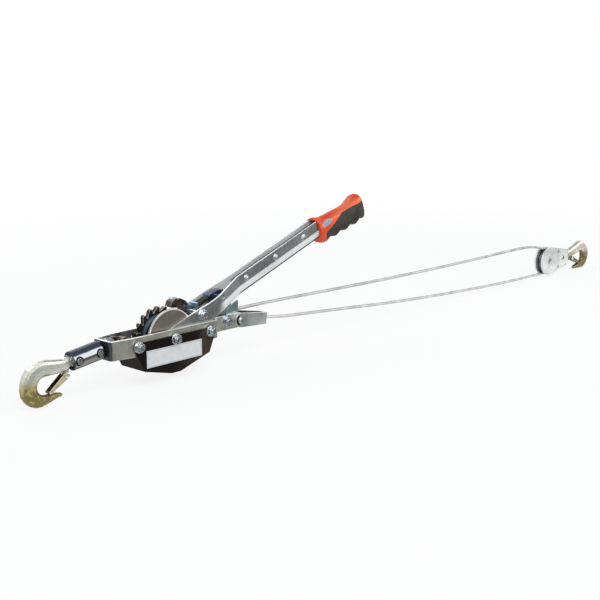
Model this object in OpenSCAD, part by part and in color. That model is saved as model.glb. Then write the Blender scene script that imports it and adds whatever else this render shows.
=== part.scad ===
// Hand cable puller (come along winch): a lever turns a ratchet drum that winds a wire rope
// between a fixed front hook and a running block with a rear hook.
// X runs along the winch towards the running block, Y away from the nut side, Z up.
// The origin is in the middle of the guard's flat bottom, under the drum axle.

/* [Frame] */
// Height of the drum axle over the bottom of the guard
axle_h = 45.5; // [44:0.5:52]
// Depth that the hooks reach below the guard
reach = 9; // [5:0.5:10]
// Depth that the block reaches below the guard
block_reach = 4.5; // [0:0.5:4.5]
// Width of the flat bar that the frame is bent from
strap_h = 25; // [20:0.5:28]
// Thickness of that bar
strap_t = 3.5; // [3:0.1:4]
// Width over the frame at the drum
frame_w = 45; // [45:0.5:50]
// Width over the frame at the nose
nose_w = 39; // [36:0.5:42]
// Distance from the drum axle to the face of the nose
nose_x = 102; // [100:1:110]
// Outer bend radius at the nose
nose_r = 6; // [5:0.5:8]
// Distance from the drum axle to the inward bend of the sides
bend_x = 76; // [75:0.5:80]
// Width over the tail, behind the inward bend
tail_w = 24; // [23:0.5:27]
// Height of the tail
tail_h = 20.5; // [19:0.5:21]
// Distance from the drum axle to the anchor pin
anchor_x = 128; // [128:1:140]
// Distance from the drum axle to the rear cross bolt
rear_bolt_x = 104; // [101:0.5:106]
// Distance between the guard bolts
bolt_pitch = 62; // [60:0.5:64]

/* [Guard] */
// Sheet thickness of the guard
guard_t = 1.6; // [1.2:0.1:2]
// Length of the flat under the guard
guard_flat = 16; // [10:1:24]
// Length of the label plate
label_l = 95; // [80:1:98]
// Height of the label plate
label_w = 23; // [16:1:23]
// Thickness of the label plate
label_t = 0.4; // [0.3:0.1:0.8]

/* [Fasteners] */
// Thread diameter of the guard bolts
bolt_d = 8; // [6:0.5:8]
// Width across the flats of the nuts and bolt heads
nut_af = 12; // [11:0.5:13]
// Height of the nuts
nut_h = 5.5; // [5:0.5:8]
// Height of the bolt heads
head_h = 5.3; // [4:0.1:6]
// Diameter of the flange under a nut
flange_d = 15; // [14:0.1:17]
// Length of thread that stands out of a nut
bolt_end = 2.5; // [1:0.5:4]
// Radial clearance of a bolt in a drilled hole
hole_gap = 0.2; // [0.1:0.05:0.4]

/* [Drum] */
// Diameter of the drum axle sleeve
axle_d = 12; // [10:0.5:14]
// Diameter of the drum flange
drum_flange_d = 78; // [70:1:80]
// Thickness of the drum flange
drum_flange_t = 2.8; // [2:0.1:3]
// Diameter of the ratchet wheel over its teeth
ratchet_d = 77; // [72:0.5:78]
// Number of ratchet teeth
ratchet_teeth = 18; // [18:1:18]
// Depth of a ratchet tooth
tooth_h = 6.5; // [5:0.5:7]
// Thickness of the ratchet wheel
ratchet_t = 6; // [5:0.5:7]
// Diameter of the drum core under the rope
core_d = 32; // [28:0.5:36]
// Loops of rope left on the drum
coil_loops = 2.5; // [2.5:1:2.5]

/* [Wire rope] */
// Diameter of the wire rope
rope_d = 5; // [4:0.5:5]
// Distance from the drum axle to the middle of the running block
block_x = 975; // [960:5:990]

/* [Handle] */
// Angle of the handle over the frame
handle_angle = 20.5; // [20.5:0.5:24]
// Length from the axle to the end of the channel
channel_l = 416; // [406:1:424]
// Width over the channel under the grip
channel_w = 18; // [16:0.5:20]
// Sheet thickness of the handle
handle_t = 2.5; // [2:0.1:2.6]
// Distance from the axle to the drive pawl bolt
pawl_u = 57; // [56:0.5:58]
// Length of the grip
grip_l = 108; // [104:1:112]
// Width over the grip
grip_w = 31; // [28:0.5:36]

/* [Front link] */
// Outer diameter of the barrel link
barrel_d = 25; // [24:0.5:27]
// Wall of the barrel link
barrel_wall = 2.5; // [2:0.1:2.6]
// Length of the barrel link
barrel_l = 47; // [46:0.5:50]
// Diameter of the link pins
link_pin_d = 8; // [6:0.5:9]
// Distance between the link pins
link_pitch = 32; // [31:0.5:35]
// Angle at which the barrel hangs
barrel_droop = 8; // [4:0.5:9]

/* [Hooks] */
// Inner radius of a hook
hook_r = 11.5; // [10:0.5:13]
// Half thickness of a hook at its back
hook_bar = 10.5; // [9:0.5:11]
// Extra length of the rear hook's shank
rear_shank = 28; // [24:1:32]

/* [Running block] */
// Diameter of the block's cheek plates
cheek_d = 54; // [52:0.5:60]
// Thickness of a cheek plate
cheek_t = 3; // [2:0.2:4]
// Diameter of the sheave
sheave_d = 52; // [50:0.5:52]
// Width of the sheave
sheave_w = 11; // [10:0.2:12]
// Diameter of the sheave's axle rivet
sheave_pin_d = 10; // [8:0.5:12]

/* [Hidden] */
$fn = 64;

// Shared clearances
run_gap = 0.05;
side_gap = 0.4;
seat_gap = 0.1;

// Stack of pieces across the drum, from the near side
strap_in = frame_w / 2 - strap_t;
arm_out = strap_in - side_gap;
arm_in = arm_out - handle_t;
drum_out = arm_in - side_gap;
drum_y0 = -drum_out + drum_flange_t;
drum_y1 = drum_out - ratchet_t;
guard_out = frame_w / 2 + guard_t;
tail_in = tail_w / 2 - strap_t;
rope_r = rope_d / 2;

// Steel colours
zinc = [0.78, 0.79, 0.80];
blue_zinc = [0.70, 0.76, 0.84];
dark_steel = [0.30, 0.29, 0.28];
gold = [0.80, 0.74, 0.55];
rope_grey = [0.66, 0.66, 0.65];
guard_black = [0.10, 0.10, 0.10];

// ---------- helpers ----------

// A rod along Y at (x, z), between y0 and y1
module rod_y(r, y0, y1, x = 0, z = 0) {
    translate([x, y0, z])
        rotate([-90, 0, 0])
            cylinder(r = r, h = y1 - y0);
}

// A hexagon along Y at (x, z)
module hex_y(af, y0, y1, x = 0, z = 0) {
    translate([x, y0, z])
        rotate([-90, 30, 0])
            cylinder(r = af / sqrt(3), h = y1 - y0, $fn = 6);
}

// A side outline, drawn as (x, z), given width between y0 and y1
module side_plate(y0, y1) {
    translate([0, y1, 0])
        rotate([90, 0, 0])
            linear_extrude(y1 - y0)
                children();
}

// A flange nut on the near side, seated on the plane y and drilled for a bolt
module flange_nut(y, x = 0, z = 0, flange = flange_d) {
    difference() {
        union() {
            hex_y(nut_af, y - nut_h, y, x, z);
            rod_y(flange / 2, y - nut_h / 4, y, x, z);
        }
        rod_y(bolt_d / 2 + run_gap, y - nut_h - 1, y + 1, x, z);
    }
}

// A bolt with its head on the far side and its thread towards the near side
module hex_bolt(y_head, y_end, x = 0, z = 0) {
    union() {
        rod_y(bolt_d / 2, y_end, y_head, x, z);
        hex_y(nut_af, y_head, y_head + head_h, x, z);
    }
}

// Moves its children with the drum axle
module at_axle() {
    translate([0, 0, axle_h])
        children();
}

// A point at radius r and angle a from the drum axle
function polar(r, a) = [r * cos(a), r * sin(a)];

function unit(v) = v / norm(v);

// Mixes a and b
function mix(a, b, t) = a + (b - a) * t;

// Value at u of a line through [[u, value], ...]
function along(table, u) =
    u <= table[0][0] ? table[0][1] :
    let (last = len(table) - 1)
    u >= table[last][0] ? table[last][1] :
    let (i = max([for (k = [0 : last - 1]) if (table[k][0] <= u) k]))
    mix(table[i][1], table[i + 1][1],
        (u - table[i][0]) / (table[i + 1][0] - table[i][0]));

// Faces that join rings of equal size into one closed solid
function ring_faces(rings, sides) = concat(
    [for (i = [0 : rings - 2], j = [0 : sides - 1])
        let (k = (j + 1) % sides)
        each [[i * sides + j, i * sides + k, (i + 1) * sides + k],
              [i * sides + j, (i + 1) * sides + k, (i + 1) * sides + j]]],
    [for (j = [1 : sides - 2]) [0, j + 1, j]],
    [for (j = [1 : sides - 2])
        let (b = (rings - 1) * sides)
        [b, b + j, b + j + 1]]);

// One closed solid through rings of points
module loft(rings) {
    polyhedron(points = [for (r = rings) each r],
        faces = ring_faces(len(rings), len(rings[0])), convexity = 8);
}

// The same for open channels, whose rings run out along one skin and back along the other
function channel_faces(rings, sides) = concat(
    [for (i = [0 : rings - 2], j = [0 : sides - 1])
        let (k = (j + 1) % sides)
        each [[i * sides + j, i * sides + k, (i + 1) * sides + k],
              [i * sides + j, (i + 1) * sides + k, (i + 1) * sides + j]]],
    [for (j = [0 : sides / 2 - 2]) [sides - 1 - j, sides - 2 - j, j + 1, j]],
    [for (j = [0 : sides / 2 - 2])
        let (b = (rings - 1) * sides)
        [b + j, b + j + 1, b + sides - 2 - j, b + sides - 1 - j]]);
module channel_loft(rings) {
    polyhedron(points = [for (r = rings) each r],
        faces = channel_faces(len(rings), len(rings[0])), convexity = 8);
}

// A ring of the tube of radius r at p, square to the unit direction t
function tube_ring(p, t, r, sides, side) =
    let (a = unit(cross(side, t)), b = cross(t, a))
    [for (k = [0 : sides - 1])
        p + r * (cos(360 * (k + 0.5) / sides) * a - sin(360 * (k + 0.5) / sides) * b)];

// Tube through points, with the given direction at each one
function tube_rings(points, directions, r, sides, side) =
    [for (i = [0 : len(points) - 1]) tube_ring(points[i], directions[i], r, sides, side)];

// A smooth curve through hand-chosen points, with steps between each pair
function curve_slope(p, i) =
    i == 0 ? p[1] - p[0] :
    i == len(p) - 1 ? p[i] - p[i - 1] :
    (p[i + 1] - p[i - 1]) * norm(p[i + 1] - p[i]) / norm(p[i + 1] - p[i - 1]);
function smooth(p, steps) = concat(
    [for (i = [0 : len(p) - 2], k = [0 : steps - 1])
        let (t = k / steps, len_i = norm(p[i + 1] - p[i]),
             m0 = unit(curve_slope(p, i)) * len_i, m1 = unit(curve_slope(p, i + 1)) * len_i)
        p[i] * (2 * pow(t, 3) - 3 * pow(t, 2) + 1) + m0 * (pow(t, 3) - 2 * pow(t, 2) + t)
            + p[i + 1] * (3 * pow(t, 2) - 2 * pow(t, 3)) + m1 * (pow(t, 3) - pow(t, 2))],
    [p[len(p) - 1]]);
function curve_directions(p) =
    [for (i = [0 : len(p) - 1])
        unit(i == 0 ? p[1] - p[0] : i == len(p) - 1 ? p[i] - p[i - 1] : p[i + 1] - p[i - 1])];

// Least gap between the surfaces of a tube's parts that lie further apart than skip points
function least_gap(points, d, skip) =
    min([for (i = [0 : len(points) - 1], j = [i + skip : 1 : len(points) - 1])
        norm(points[i] - points[j])]) - d;

// ---------- frame ----------

flare_x = nose_x - nose_r - 2 * strap_t;
flare_end = flare_x - 18;
// The tail keeps the top edge of the bar
tail_mid = (strap_h - tail_h) / 2;
rear_bolt_z = tail_mid + 2;
joggle_l = (frame_w - tail_w) / 2 - 2.5;
tail_x = bend_x + joggle_l;

// Half of the plan of the frame, drawn towards +Y
function frame_side(grow) =
    [[flare_x, nose_w / 2 - grow], [flare_end, frame_w / 2 - grow],
     [-bend_x, frame_w / 2 - grow], [-tail_x, tail_w / 2 - grow],
     [-anchor_x - tail_h, tail_w / 2 - grow]];
module frame_plan(grow, front) {
    half = frame_side(grow);
    corner = nose_r - grow;
    flat_y = nose_w / 2 - nose_r;
    union() {
        polygon(concat(
            [[-front, -flat_y], [-(nose_x - nose_r), -nose_w / 2 + grow]],
            [for (p = half) [-p[0], -p[1]]],
            [for (i = [len(half) - 1 : -1 : 0]) [-half[i][0], half[i][1]]],
            [[-(nose_x - nose_r), nose_w / 2 - grow], [-front, flat_y]]));
        for (s = [-1, 1])
            translate([-(nose_x - nose_r), s * flat_y])
                circle(r = corner);
    }
}

// Side view of the frame: full height to the bend, then a lower tail with a round end
module frame_profile() {
    union() {
        polygon([[-nose_x - 1, -strap_h / 2], [bend_x, -strap_h / 2],
            [tail_x, tail_mid - tail_h / 2], [anchor_x, tail_mid - tail_h / 2],
            [anchor_x, strap_h / 2], [-nose_x - 1, strap_h / 2]]);
        translate([anchor_x, tail_mid])
            circle(d = tail_h);
    }
}

anchor_pin_d = 8;
swivel_d = 10;
bolt_x = [-bolt_pitch, 0, bolt_pitch];

module frame_strap() {
    color(zinc)
        at_axle()
            difference() {
                intersection() {
                    translate([0, 0, -strap_h / 2])
                        linear_extrude(strap_h)
                            difference() {
                                frame_plan(0, nose_x);
                                frame_plan(strap_t, nose_x - strap_t);
                                translate([anchor_x + tail_h / 2 + 1, -tail_w])
                                    square(2 * tail_w);
                            }
                    side_plate(-frame_w, frame_w)
                        frame_profile();
                }
                for (x = bolt_x)
                    rod_y(bolt_d / 2 + hole_gap, -frame_w, frame_w, x);
                rod_y(bolt_d / 2 + hole_gap, -frame_w, frame_w, rear_bolt_x, rear_bolt_z);
                rod_y(anchor_pin_d / 2 + hole_gap, -frame_w, frame_w, anchor_x, tail_mid);
                translate([-nose_x - 1, 0, 0])
                    rotate([0, 90, 0])
                        cylinder(d = swivel_d + 2 * run_gap, h = strap_t + 2);
            }
}

// ---------- guard ----------

guard_top = 5;
front_drop = 0.76 * axle_h;
rear_drop = 0.725 * axle_h;
// Lower outline of the guard from its front corner to its rear corner
guard_low = [[-bolt_pitch - 5, -8], [-bolt_pitch + 9, -front_drop], [-guard_flat / 2, -axle_h],
    [guard_flat / 2, -axle_h], [bolt_pitch - 14, -rear_drop], [bolt_pitch - 2, -rear_drop + 4],
    [bolt_pitch + 7.5, -7]];
guard_line = concat([[-bolt_pitch - 6, guard_top]], guard_low, [[bolt_pitch + 6.5, guard_top]]);

// The lower outline moved inwards by the sheet's thickness
function inset(p, t) =
    [for (i = [0 : len(p) - 1])
        let (a = unit(p[min(i + 1, len(p) - 1)] - p[max(i - 1, 0)]),
             b = unit(p[min(i + 1, len(p) - 1)] - p[min(i, len(p) - 2)]),
             n = [-a[1], a[0]], c = abs(n * [-b[1], b[0]]))
        p[i] + n * t / c];

module guard_pan() {
    // The bent sheet starts under the strap
    band = [for (i = [0 : len(guard_low) - 2]) i == 0 ?
        mix(guard_low[0], guard_low[1], (strap_h / 2 + 1 - 8) / (front_drop - 8)) : guard_low[i]];
    inner = inset(band, guard_t);
    color(guard_black)
        at_axle()
            difference() {
                union() {
                    side_plate(-guard_out, -frame_w / 2)
                        polygon(guard_line);
                    side_plate(frame_w / 2, guard_out)
                        polygon(guard_line);
                    side_plate(-frame_w / 2, frame_w / 2)
                        polygon(concat(band,
                            [for (i = [len(inner) - 1 : -1 : 0]) inner[i]]));
                }
                for (x = bolt_x)
                    rod_y(bolt_d / 2 + hole_gap, -frame_w, frame_w, x);
            }
}

label_top = -flange_d / 2 - 0.3;
module label_plate() {
    color([0.93, 0.93, 0.92])
        at_axle()
            translate([-label_l / 2 - 2, -guard_out - label_t, label_top - label_w])
                cube([label_l, label_t, label_w]);
}

module guard_bolts() {
    color(blue_zinc)
        at_axle()
            for (x = bolt_x)
                hex_bolt(guard_out, -guard_out - nut_h - bolt_end, x);
}

module flange_nuts() {
    color(blue_zinc)
        at_axle()
            for (x = bolt_x)
                flange_nut(-guard_out, x);
}

// The rear sleeve is also the stop that the handle rests on
arm_h = 27;
rear_sleeve_r = bolt_pitch * sin(handle_angle) - arm_h / 2 - 0.25;
pivot_sleeve_r = 6;

module sleeve(r, x) {
    difference() {
        rod_y(r, -strap_in, strap_in, x);
        rod_y(bolt_d / 2 + run_gap, -strap_in - 1, strap_in + 1, x);
    }
}

module spacer_sleeves() {
    color(zinc)
        at_axle() {
            sleeve(pivot_sleeve_r, -bolt_pitch);
            sleeve(rear_sleeve_r, bolt_pitch);
        }
}

module drum_axle() {
    color(zinc)
        at_axle()
            sleeve(axle_d / 2, 0);
}

// ---------- rear of the frame ----------

rear_flange_d = 18;
module rear_bolt() {
    color(blue_zinc)
        at_axle()
            hex_bolt(tail_w / 2, -tail_w / 2 - nut_h - bolt_end / 2, rear_bolt_x, rear_bolt_z);
}

module rear_nut() {
    color(blue_zinc)
        at_axle()
            flange_nut(-tail_w / 2, rear_bolt_x, rear_bolt_z, rear_flange_d);
}

guide_t = 2;
guide_in = tail_in - seat_gap - guide_t;
// Side view of an ear of the rope guide
guide_ear = [[-8, -7], [10, -7], [16, 2], [24.5, 9.5], [25.5, 29], [23.5, 30.5], [18, 28], [4, 20.5],
    [2, 12], [-8, 12]];
module rope_guide() {
    color([0.60, 0.68, 0.68])
        at_axle()
            translate([rear_bolt_x, 0, 0])
                difference() {
                    union() {
                        for (s = [-1, 1])
                            translate([0, s * (guide_in + guide_t / 2), 0])
                                side_plate(-guide_t / 2, guide_t / 2)
                                    polygon(guide_ear);
                        side_plate(-guide_in, guide_in)
                            polygon([[-8, -7], [10, -7], [10, -7 + guide_t], [-8, -7 + guide_t]]);
                    }
                    rod_y(bolt_d / 2 + hole_gap, -tail_w, tail_w, 0, rear_bolt_z);
                }
}

// ---------- anchor bracket ----------

bracket_t = 3;
bracket_h = 20.5;
bracket_end_h = 17;
bracket_l = 59;
bracket_droop = 7.5;
bracket_end_w = 16;
bracket_in = tail_w / 2 + 0.3;
rope_hole_r = rope_r + 0.8;
ferrule_l = 12;
ferrule_r = 4.5;

// Moves its children with the anchor bracket, whose length runs along +X
module at_bracket() {
    translate([anchor_x, 0, axle_h + tail_mid])
        rotate([0, bracket_droop, 0])
            children();
}

function bracket_plan(y_pin, y_end, x_end) =
    [[-bracket_h / 2, -y_pin], [tail_h / 2 + 2, -y_pin], [x_end, -y_end],
     [x_end, y_end], [tail_h / 2 + 2, y_pin], [-bracket_h / 2, y_pin]];

module anchor_bracket() {
    color([0.66, 0.70, 0.66])
        at_bracket()
            difference() {
                intersection() {
                    translate([0, 0, -bracket_h / 2])
                        linear_extrude(bracket_h)
                            polygon(bracket_plan(bracket_in + bracket_t, bracket_end_w / 2,
                                bracket_l));
                    side_plate(-tail_w, tail_w)
                        union() {
                            circle(d = bracket_h);
                            polygon([[0, -bracket_h / 2], [bracket_l + 1, -bracket_end_h / 2],
                                [bracket_l + 1, bracket_end_h / 2], [0, bracket_h / 2]]);
                        }
                }
                translate([0, 0, -bracket_h])
                    linear_extrude(2 * bracket_h)
                        polygon(concat([[-bracket_h, -bracket_in]],
                            [for (i = [1 : 4]) bracket_plan(bracket_in,
                                bracket_end_w / 2 - bracket_t, bracket_l - bracket_t)[i]],
                            [[-bracket_h, bracket_in]]));
                rod_y(anchor_pin_d / 2 + run_gap, -tail_w, tail_w);
                translate([bracket_l - 2 * bracket_t, 0, 0])
                    rotate([0, 90, 0])
                        cylinder(r = rope_hole_r, h = 3 * bracket_t);
            }
}

pin_head_h = 3.5;
pin_head_r = 5.5;
module anchor_pin() {
    y_out = bracket_in + bracket_t + seat_gap;
    color([0.72, 0.74, 0.72])
        at_axle()
            translate([anchor_x, 0, tail_mid])
                union() {
                    rod_y(anchor_pin_d / 2, -y_out, y_out);
                    for (s = [-1, 1])
                        translate([0, s * y_out, 0])
                            rotate([s > 0 ? -90 : 90, 0, 0])
                                rotate_extrude()
                                    polygon([[0, 0], [pin_head_r, 0], [pin_head_r, 1.2],
                                        [pin_head_r - 2, pin_head_h], [0, pin_head_h]]);
                }
}

ferrule_x = bracket_l - bracket_t - seat_gap;
module rope_ferrule() {
    color([0.62, 0.60, 0.56])
        at_bracket()
            translate([ferrule_x - ferrule_l, 0, 0])
                rotate([0, 90, 0])
                    difference() {
                        cylinder(r = ferrule_r, h = ferrule_l);
                        translate([0, 0, 2])
                            cylinder(r = rope_r + run_gap, h = ferrule_l);
                    }
}

// ---------- routes of the wire rope ----------

// Route of the short tail, from inside the ferrule to where the lower run takes over
tail_out = 234;
function bracket_point(x) =
    [anchor_x + x * cos(bracket_droop), 0, axle_h + tail_mid - x * sin(bracket_droop)];
tail_points = [bracket_point(ferrule_x - ferrule_l + 2), bracket_point(bracket_l + 3),
    [215, 0, 36.3], [tail_out, 0, 34]];
// Lower run, from the tail to the underside of the block
block_z = cheek_d / 2 - block_reach;
wrap_r = sheave_d / 2 - 2;
lower_points = [[tail_out, 0, 34], [300, 0, 29], [380, 0, 23], [470, 0, 16], [570, 0, 10],
    [670, 0, 5], [770, 0, 1.2], [850, 0, -0.6], [920, 0, -1.3], [950, 0, -1.5],
    [block_x, 0, -1.5]];
// Upper run, from the top of the drum to the top of the sheave
coil_r = core_d / 2 + 0.4 + rope_r;
rope_y = 4.3;
upper_points = [[rope_d, rope_y, 64], [52, 3.5, 60.7], [95, 3, 59.8], [140, 3, 60.1],
    [180, 2.8, 60.3], [250, 2.5, 59.5], [330, 2.2, 58], [420, 1.9, 56.6], [520, 1.6, 55.8],
    [620, 1.3, 55.6], [710, 1, 56], [790, 0.6, 57], [860, 0.4, 58], [910, 0.2, 57],
    [942, 0, 53], [962, 0, 48.4], [block_x, 0, 46.5]];
upper_ends = [[rope_d, rope_y, axle_h + coil_r], [block_x, 0, block_z + wrap_r]];
lower_end = [block_x, 0, block_z - wrap_r];

// The route with its ends moved onto the pieces that it meets
function ended(p, first, last) = concat([first], [for (i = [1 : len(p) - 2]) p[i]], [last]);
upper_route = ended(upper_points, upper_ends[0], upper_ends[1]);
lower_route = ended(lower_points, lower_points[0], lower_end);

run_sides = 8;
module rope_run(route, steps, first, last) {
    p = smooth(route, steps);
    d = curve_directions(p);
    n = len(p) - 1;
    loft(tube_rings(p, [for (i = [0 : n]) i == 0 ? first : i == n ? last : d[i]],
        rope_r, run_sides, [0, 1, 0]));
}

module upper_rope() {
    color(rope_grey)
        rope_run(upper_route, 4, [1, 0, 0], [1, 0, 0]);
}

module lower_rope() {
    color(rope_grey)
        rope_run(lower_route, 4, unit(lower_points[0] - tail_points[2]), [1, 0, 0]);
}

module rope_tail() {
    color(rope_grey)
        rope_run(tail_points, 4, unit(tail_points[1] - tail_points[0]),
            unit(lower_points[0] - tail_points[2]));
}

// The half turn round the sheave
wrap_steps = 14;
module sheave_rope() {
    angles = [for (i = [0 : wrap_steps]) 90 - 180 * i / wrap_steps];
    color(rope_grey)
        loft(tube_rings(
            [for (a = angles) [block_x + wrap_r * cos(a), 0, block_z + wrap_r * sin(a)]],
            [for (a = angles) [sin(a), 0, -cos(a)]], rope_r, run_sides, [0, 1, 0]));
}

// Coil on the drum: it winds under the core and leaves over the top towards +X
coil_pitch = 5.7;
coil_rings = 24;
coil_sides = 6;
coil_turn = 360 * coil_loops;
coil_points = concat(
    [[rope_d, rope_y - coil_pitch * coil_loops, axle_h - coil_r]],
    [for (i = [0 : coil_rings * coil_loops])
        let (a = coil_turn - 360 * i / coil_rings)
        [-coil_r * sin(a), rope_y - coil_pitch * a / 360, axle_h + coil_r * cos(a)]],
    [upper_ends[0]]);
coil_directions =
    [for (i = [0 : len(coil_points) - 1])
        i <= 1 ? [-1, 0, 0] : i >= len(coil_points) - 2 ? [1, 0, 0] :
        unit(coil_points[i + 1] - coil_points[i - 1])];
coil_gap = least_gap(coil_points, rope_d, 12);
echo(coil_gap = coil_gap);

module rope_coil() {
    color(rope_grey)
        loft(tube_rings(coil_points, coil_directions, rope_r, coil_sides, [0, 1, 0]));
}

// ---------- drum ----------

module drum_flange() {
    color(zinc)
        at_axle()
            difference() {
                rod_y(drum_flange_d / 2, -drum_out, drum_y0);
                rod_y(axle_d / 2 + run_gap, -drum_out - 1, drum_y0 + 1);
            }
}

// The core, with the lug that holds the end of the rope
module drum_core() {
    lug_y = rope_y - coil_pitch * coil_loops;
    color(zinc)
        at_axle()
            difference() {
                union() {
                    rod_y(core_d / 2, drum_y0, drum_y1);
                    translate([rope_d, drum_y0, -coil_r - rope_r])
                        cube([5, lug_y - drum_y0 + 0.85 * rope_r, coil_r + rope_r - core_d / 4]);
                }
                rod_y(axle_d / 2 + run_gap, drum_y0 - 1, drum_y1 + 1);
            }
}

// One tooth, from its steep face round its rounded tip to its sloping back
ratchet_r = ratchet_d / 2;
root_r = ratchet_r - tooth_h;
tooth_step = 360 / ratchet_teeth;
tooth_shape = [[0, -0.17], [0.45, -0.19], [0.85, -0.2], [0.97, -0.15], [1, -0.06], [1, 0.03],
    [0.94, 0.12], [0.78, 0.22], [0.5, 0.36], [0.24, 0.52], [0.08, 0.66], [0, 0.78]];
tooth_phase = handle_angle - 10;
module ratchet_outline() {
    polygon([for (i = [0 : ratchet_teeth - 1], t = tooth_shape)
        polar(root_r + tooth_h * t[0], tooth_phase + (i + t[1]) * tooth_step)]);
}

module ratchet_wheel() {
    color(dark_steel)
        at_axle()
            difference() {
                side_plate(drum_y1, drum_out)
                    ratchet_outline();
                rod_y(axle_d / 2 + run_gap, drum_y1 - 1, drum_out + 1);
            }
}

// ---------- holding pawl ----------

// Points of a pawl: [distance over the tooth tips, angle from the drum axle]
function pawl_points(table, turn) = [for (p = table) polar(ratchet_r + p[0], turn + p[1])];
holding_nose = [[0.7, 208], [0.8, 203.5], [3, 196], [7, 188], [10, 184]];
holding_back = [[11, 210], [7.5, 213], [3.4, 211]];
pawl_y0 = drum_y1 - 0.6;
module holding_pawl() {
    color(dark_steel)
        at_axle()
            difference() {
                union() {
                    side_plate(pawl_y0, drum_out)
                        polygon(concat(pawl_points(holding_nose, tooth_phase - 10.5),
                            [[-bolt_pitch + 6, 7], [-bolt_pitch - 5, -6]],
                            pawl_points(holding_back, tooth_phase - 10.5)));
                    rod_y(pivot_sleeve_r + 3.2, 2, drum_out, -bolt_pitch);
                    // Thumb tab that lifts the pawl
                    side_plate(pawl_y0, drum_out)
                        polygon([[-bolt_pitch - 8, -4], [-bolt_pitch + 1, 8],
                            [-bolt_pitch - 17, 12], [-bolt_pitch - 18, 8]]);
                }
                rod_y(pivot_sleeve_r + run_gap, 0, drum_out + 1, -bolt_pitch);
            }
}

// Springs: one unbroken tube with 8 rings in each curl
spring_sides = 6;
curl_rings = 8;
function helix(r, pitch, curls, start) =
    [for (i = [0 : curl_rings * curls])
        let (a = start + 360 * i / curl_rings)
        [r * cos(a), pitch * i / curl_rings, r * sin(a)]];
module coil_spring(r, wire, pitch, curls, first_leg, last_leg, start = 0) {
    p = concat([for (q = first_leg) q], helix(r, pitch, curls, start), [for (q = last_leg) q]);
    loft(tube_rings(p, curve_directions(p), wire / 2, spring_sides, [0, 1, 0]));
}

hold_spring_r = pivot_sleeve_r + 1.6;
hold_wire = 1.6;
hold_pitch = 2.3;
hold_curls = 5;
echo(hold_gap = least_gap(helix(hold_spring_r, hold_pitch, hold_curls, 0), hold_wire, 5));
module holding_pawl_spring() {
    length = hold_pitch * hold_curls;
    color(zinc)
        at_axle()
            translate([-bolt_pitch, 1 - length - hold_wire, 0])
                coil_spring(hold_spring_r, hold_wire, hold_pitch, hold_curls,
                    [[hold_spring_r, 0, -2 * hold_wire]], [[hold_spring_r, length, 10]]);
}

// ---------- handle ----------

// Moves its children with the handle, whose length runs along +X
module on_handle() {
    translate([0, 0, axle_h])
        rotate([0, -handle_angle, 0])
            children();
}

fork_start = 72;
fork_mouth = 100;
fork_end = 142;
fork_knee = 95;
channel_low = -arm_h / 2;
// Height of the channel's top edge along the handle
channel_high = 14.5;
grip_high = 2.5;
// How far the grip reaches past the channel
grip_past = 10;
grip_u0 = channel_l + grip_past - grip_l;
// Where the channel's sides drop, inside the grip's mouth
drop_u0 = grip_u0 + 1;
drop_u1 = grip_u0 + 14;
channel_top = [[fork_start, 11], [fork_knee, 11.5], [fork_end, channel_high],
    [drop_u0, channel_high], [drop_u1, grip_high], [channel_l, grip_high]];
// Half width of the flat sides, then of the bottom
channel_side = [[fork_start, arm_out], [fork_knee, arm_out], [fork_end, channel_w / 2],
    [channel_l, channel_w / 2]];
channel_bottom = [[fork_start, arm_out - 0.8], [fork_knee, arm_out - 4],
    [fork_end, channel_w / 2 - 5], [channel_l, channel_w / 2 - 5]];
function channel_ring(u) =
    let (top = along(channel_top, u), a = along(channel_side, u), b = along(channel_bottom, u),
         t = handle_t, outer = [[a, top], [a, 0], [b + 0.6 * (a - b), channel_low * 0.62],
             [b, channel_low]],
         inner = [[a - t, top], [a - t, 0.5],
             [b + 0.6 * (a - b) - t, channel_low * 0.62 + 0.5],
             [max(b - t, 0.8), channel_low + t]])
    concat([for (p = outer) [u, -p[0], p[1]]],
        [for (i = [3 : -1 : 0]) [u, outer[i][0], outer[i][1]]],
        [for (p = inner) [u, p[0], p[1]]],
        [for (i = [3 : -1 : 0]) [u, -inner[i][0], inner[i][1]]]);
channel_stations = [channel_l, drop_u1, drop_u0, fork_end, 130, 118, 105, fork_knee,
    88, 80, fork_start];

arm_r = arm_h / 2;
arm_shoulder = 35;
module arm_outline() {
    union() {
        circle(r = arm_r);
        polygon([[0, -arm_r], [fork_start, channel_low], [fork_start, 0], [fork_start + 6, 0],
            [fork_start + 6, 11], [arm_shoulder, arm_r], [0, arm_r]]);
    }
}

bump_pitch = 63.5;
bump_u = [for (k = [0 : 2]) fork_end + 15 + k * bump_pitch];
pawl_w = 4.3;
post_u = 102;
post_w = 6;
post_r = 2.5;
module handle_channel() {
    color(zinc)
        on_handle()
            difference() {
                union() {
                    for (s = [-1, 1])
                        translate([0, s * (arm_out - handle_t / 2), 0])
                            side_plate(-handle_t / 2, handle_t / 2)
                                arm_outline();
                    channel_loft([for (u = channel_stations) channel_ring(u)]);
                    for (u = bump_u)
                        rod_y(4, -channel_w / 2 - 1, -channel_w / 2 + 1, u, 5);
                }
                // Open mouth of the fork under the drum and the drive pawl
                translate([fork_start - 1, -arm_in + 3, channel_low - 1])
                    cube([fork_mouth - fork_start + 1, 2 * arm_in - 6, handle_t + 6]);
                rod_y(axle_d / 2 + run_gap, -frame_w, frame_w);
                rod_y(bolt_d / 2 + run_gap, -frame_w, frame_w, pawl_u, pawl_w);
                rod_y(post_r + run_gap, -frame_w, frame_w, post_u, post_w);
            }
}

// Grip: outlines along its length as [part of the length, height or width]
grip_u1 = grip_u0 + grip_l;
grip_half = grip_w / 2;
grip_stations = concat([for (i = [0 : 24]) 0.94 * i / 24], [0.96, 0.975, 0.99, 1]);
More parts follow.
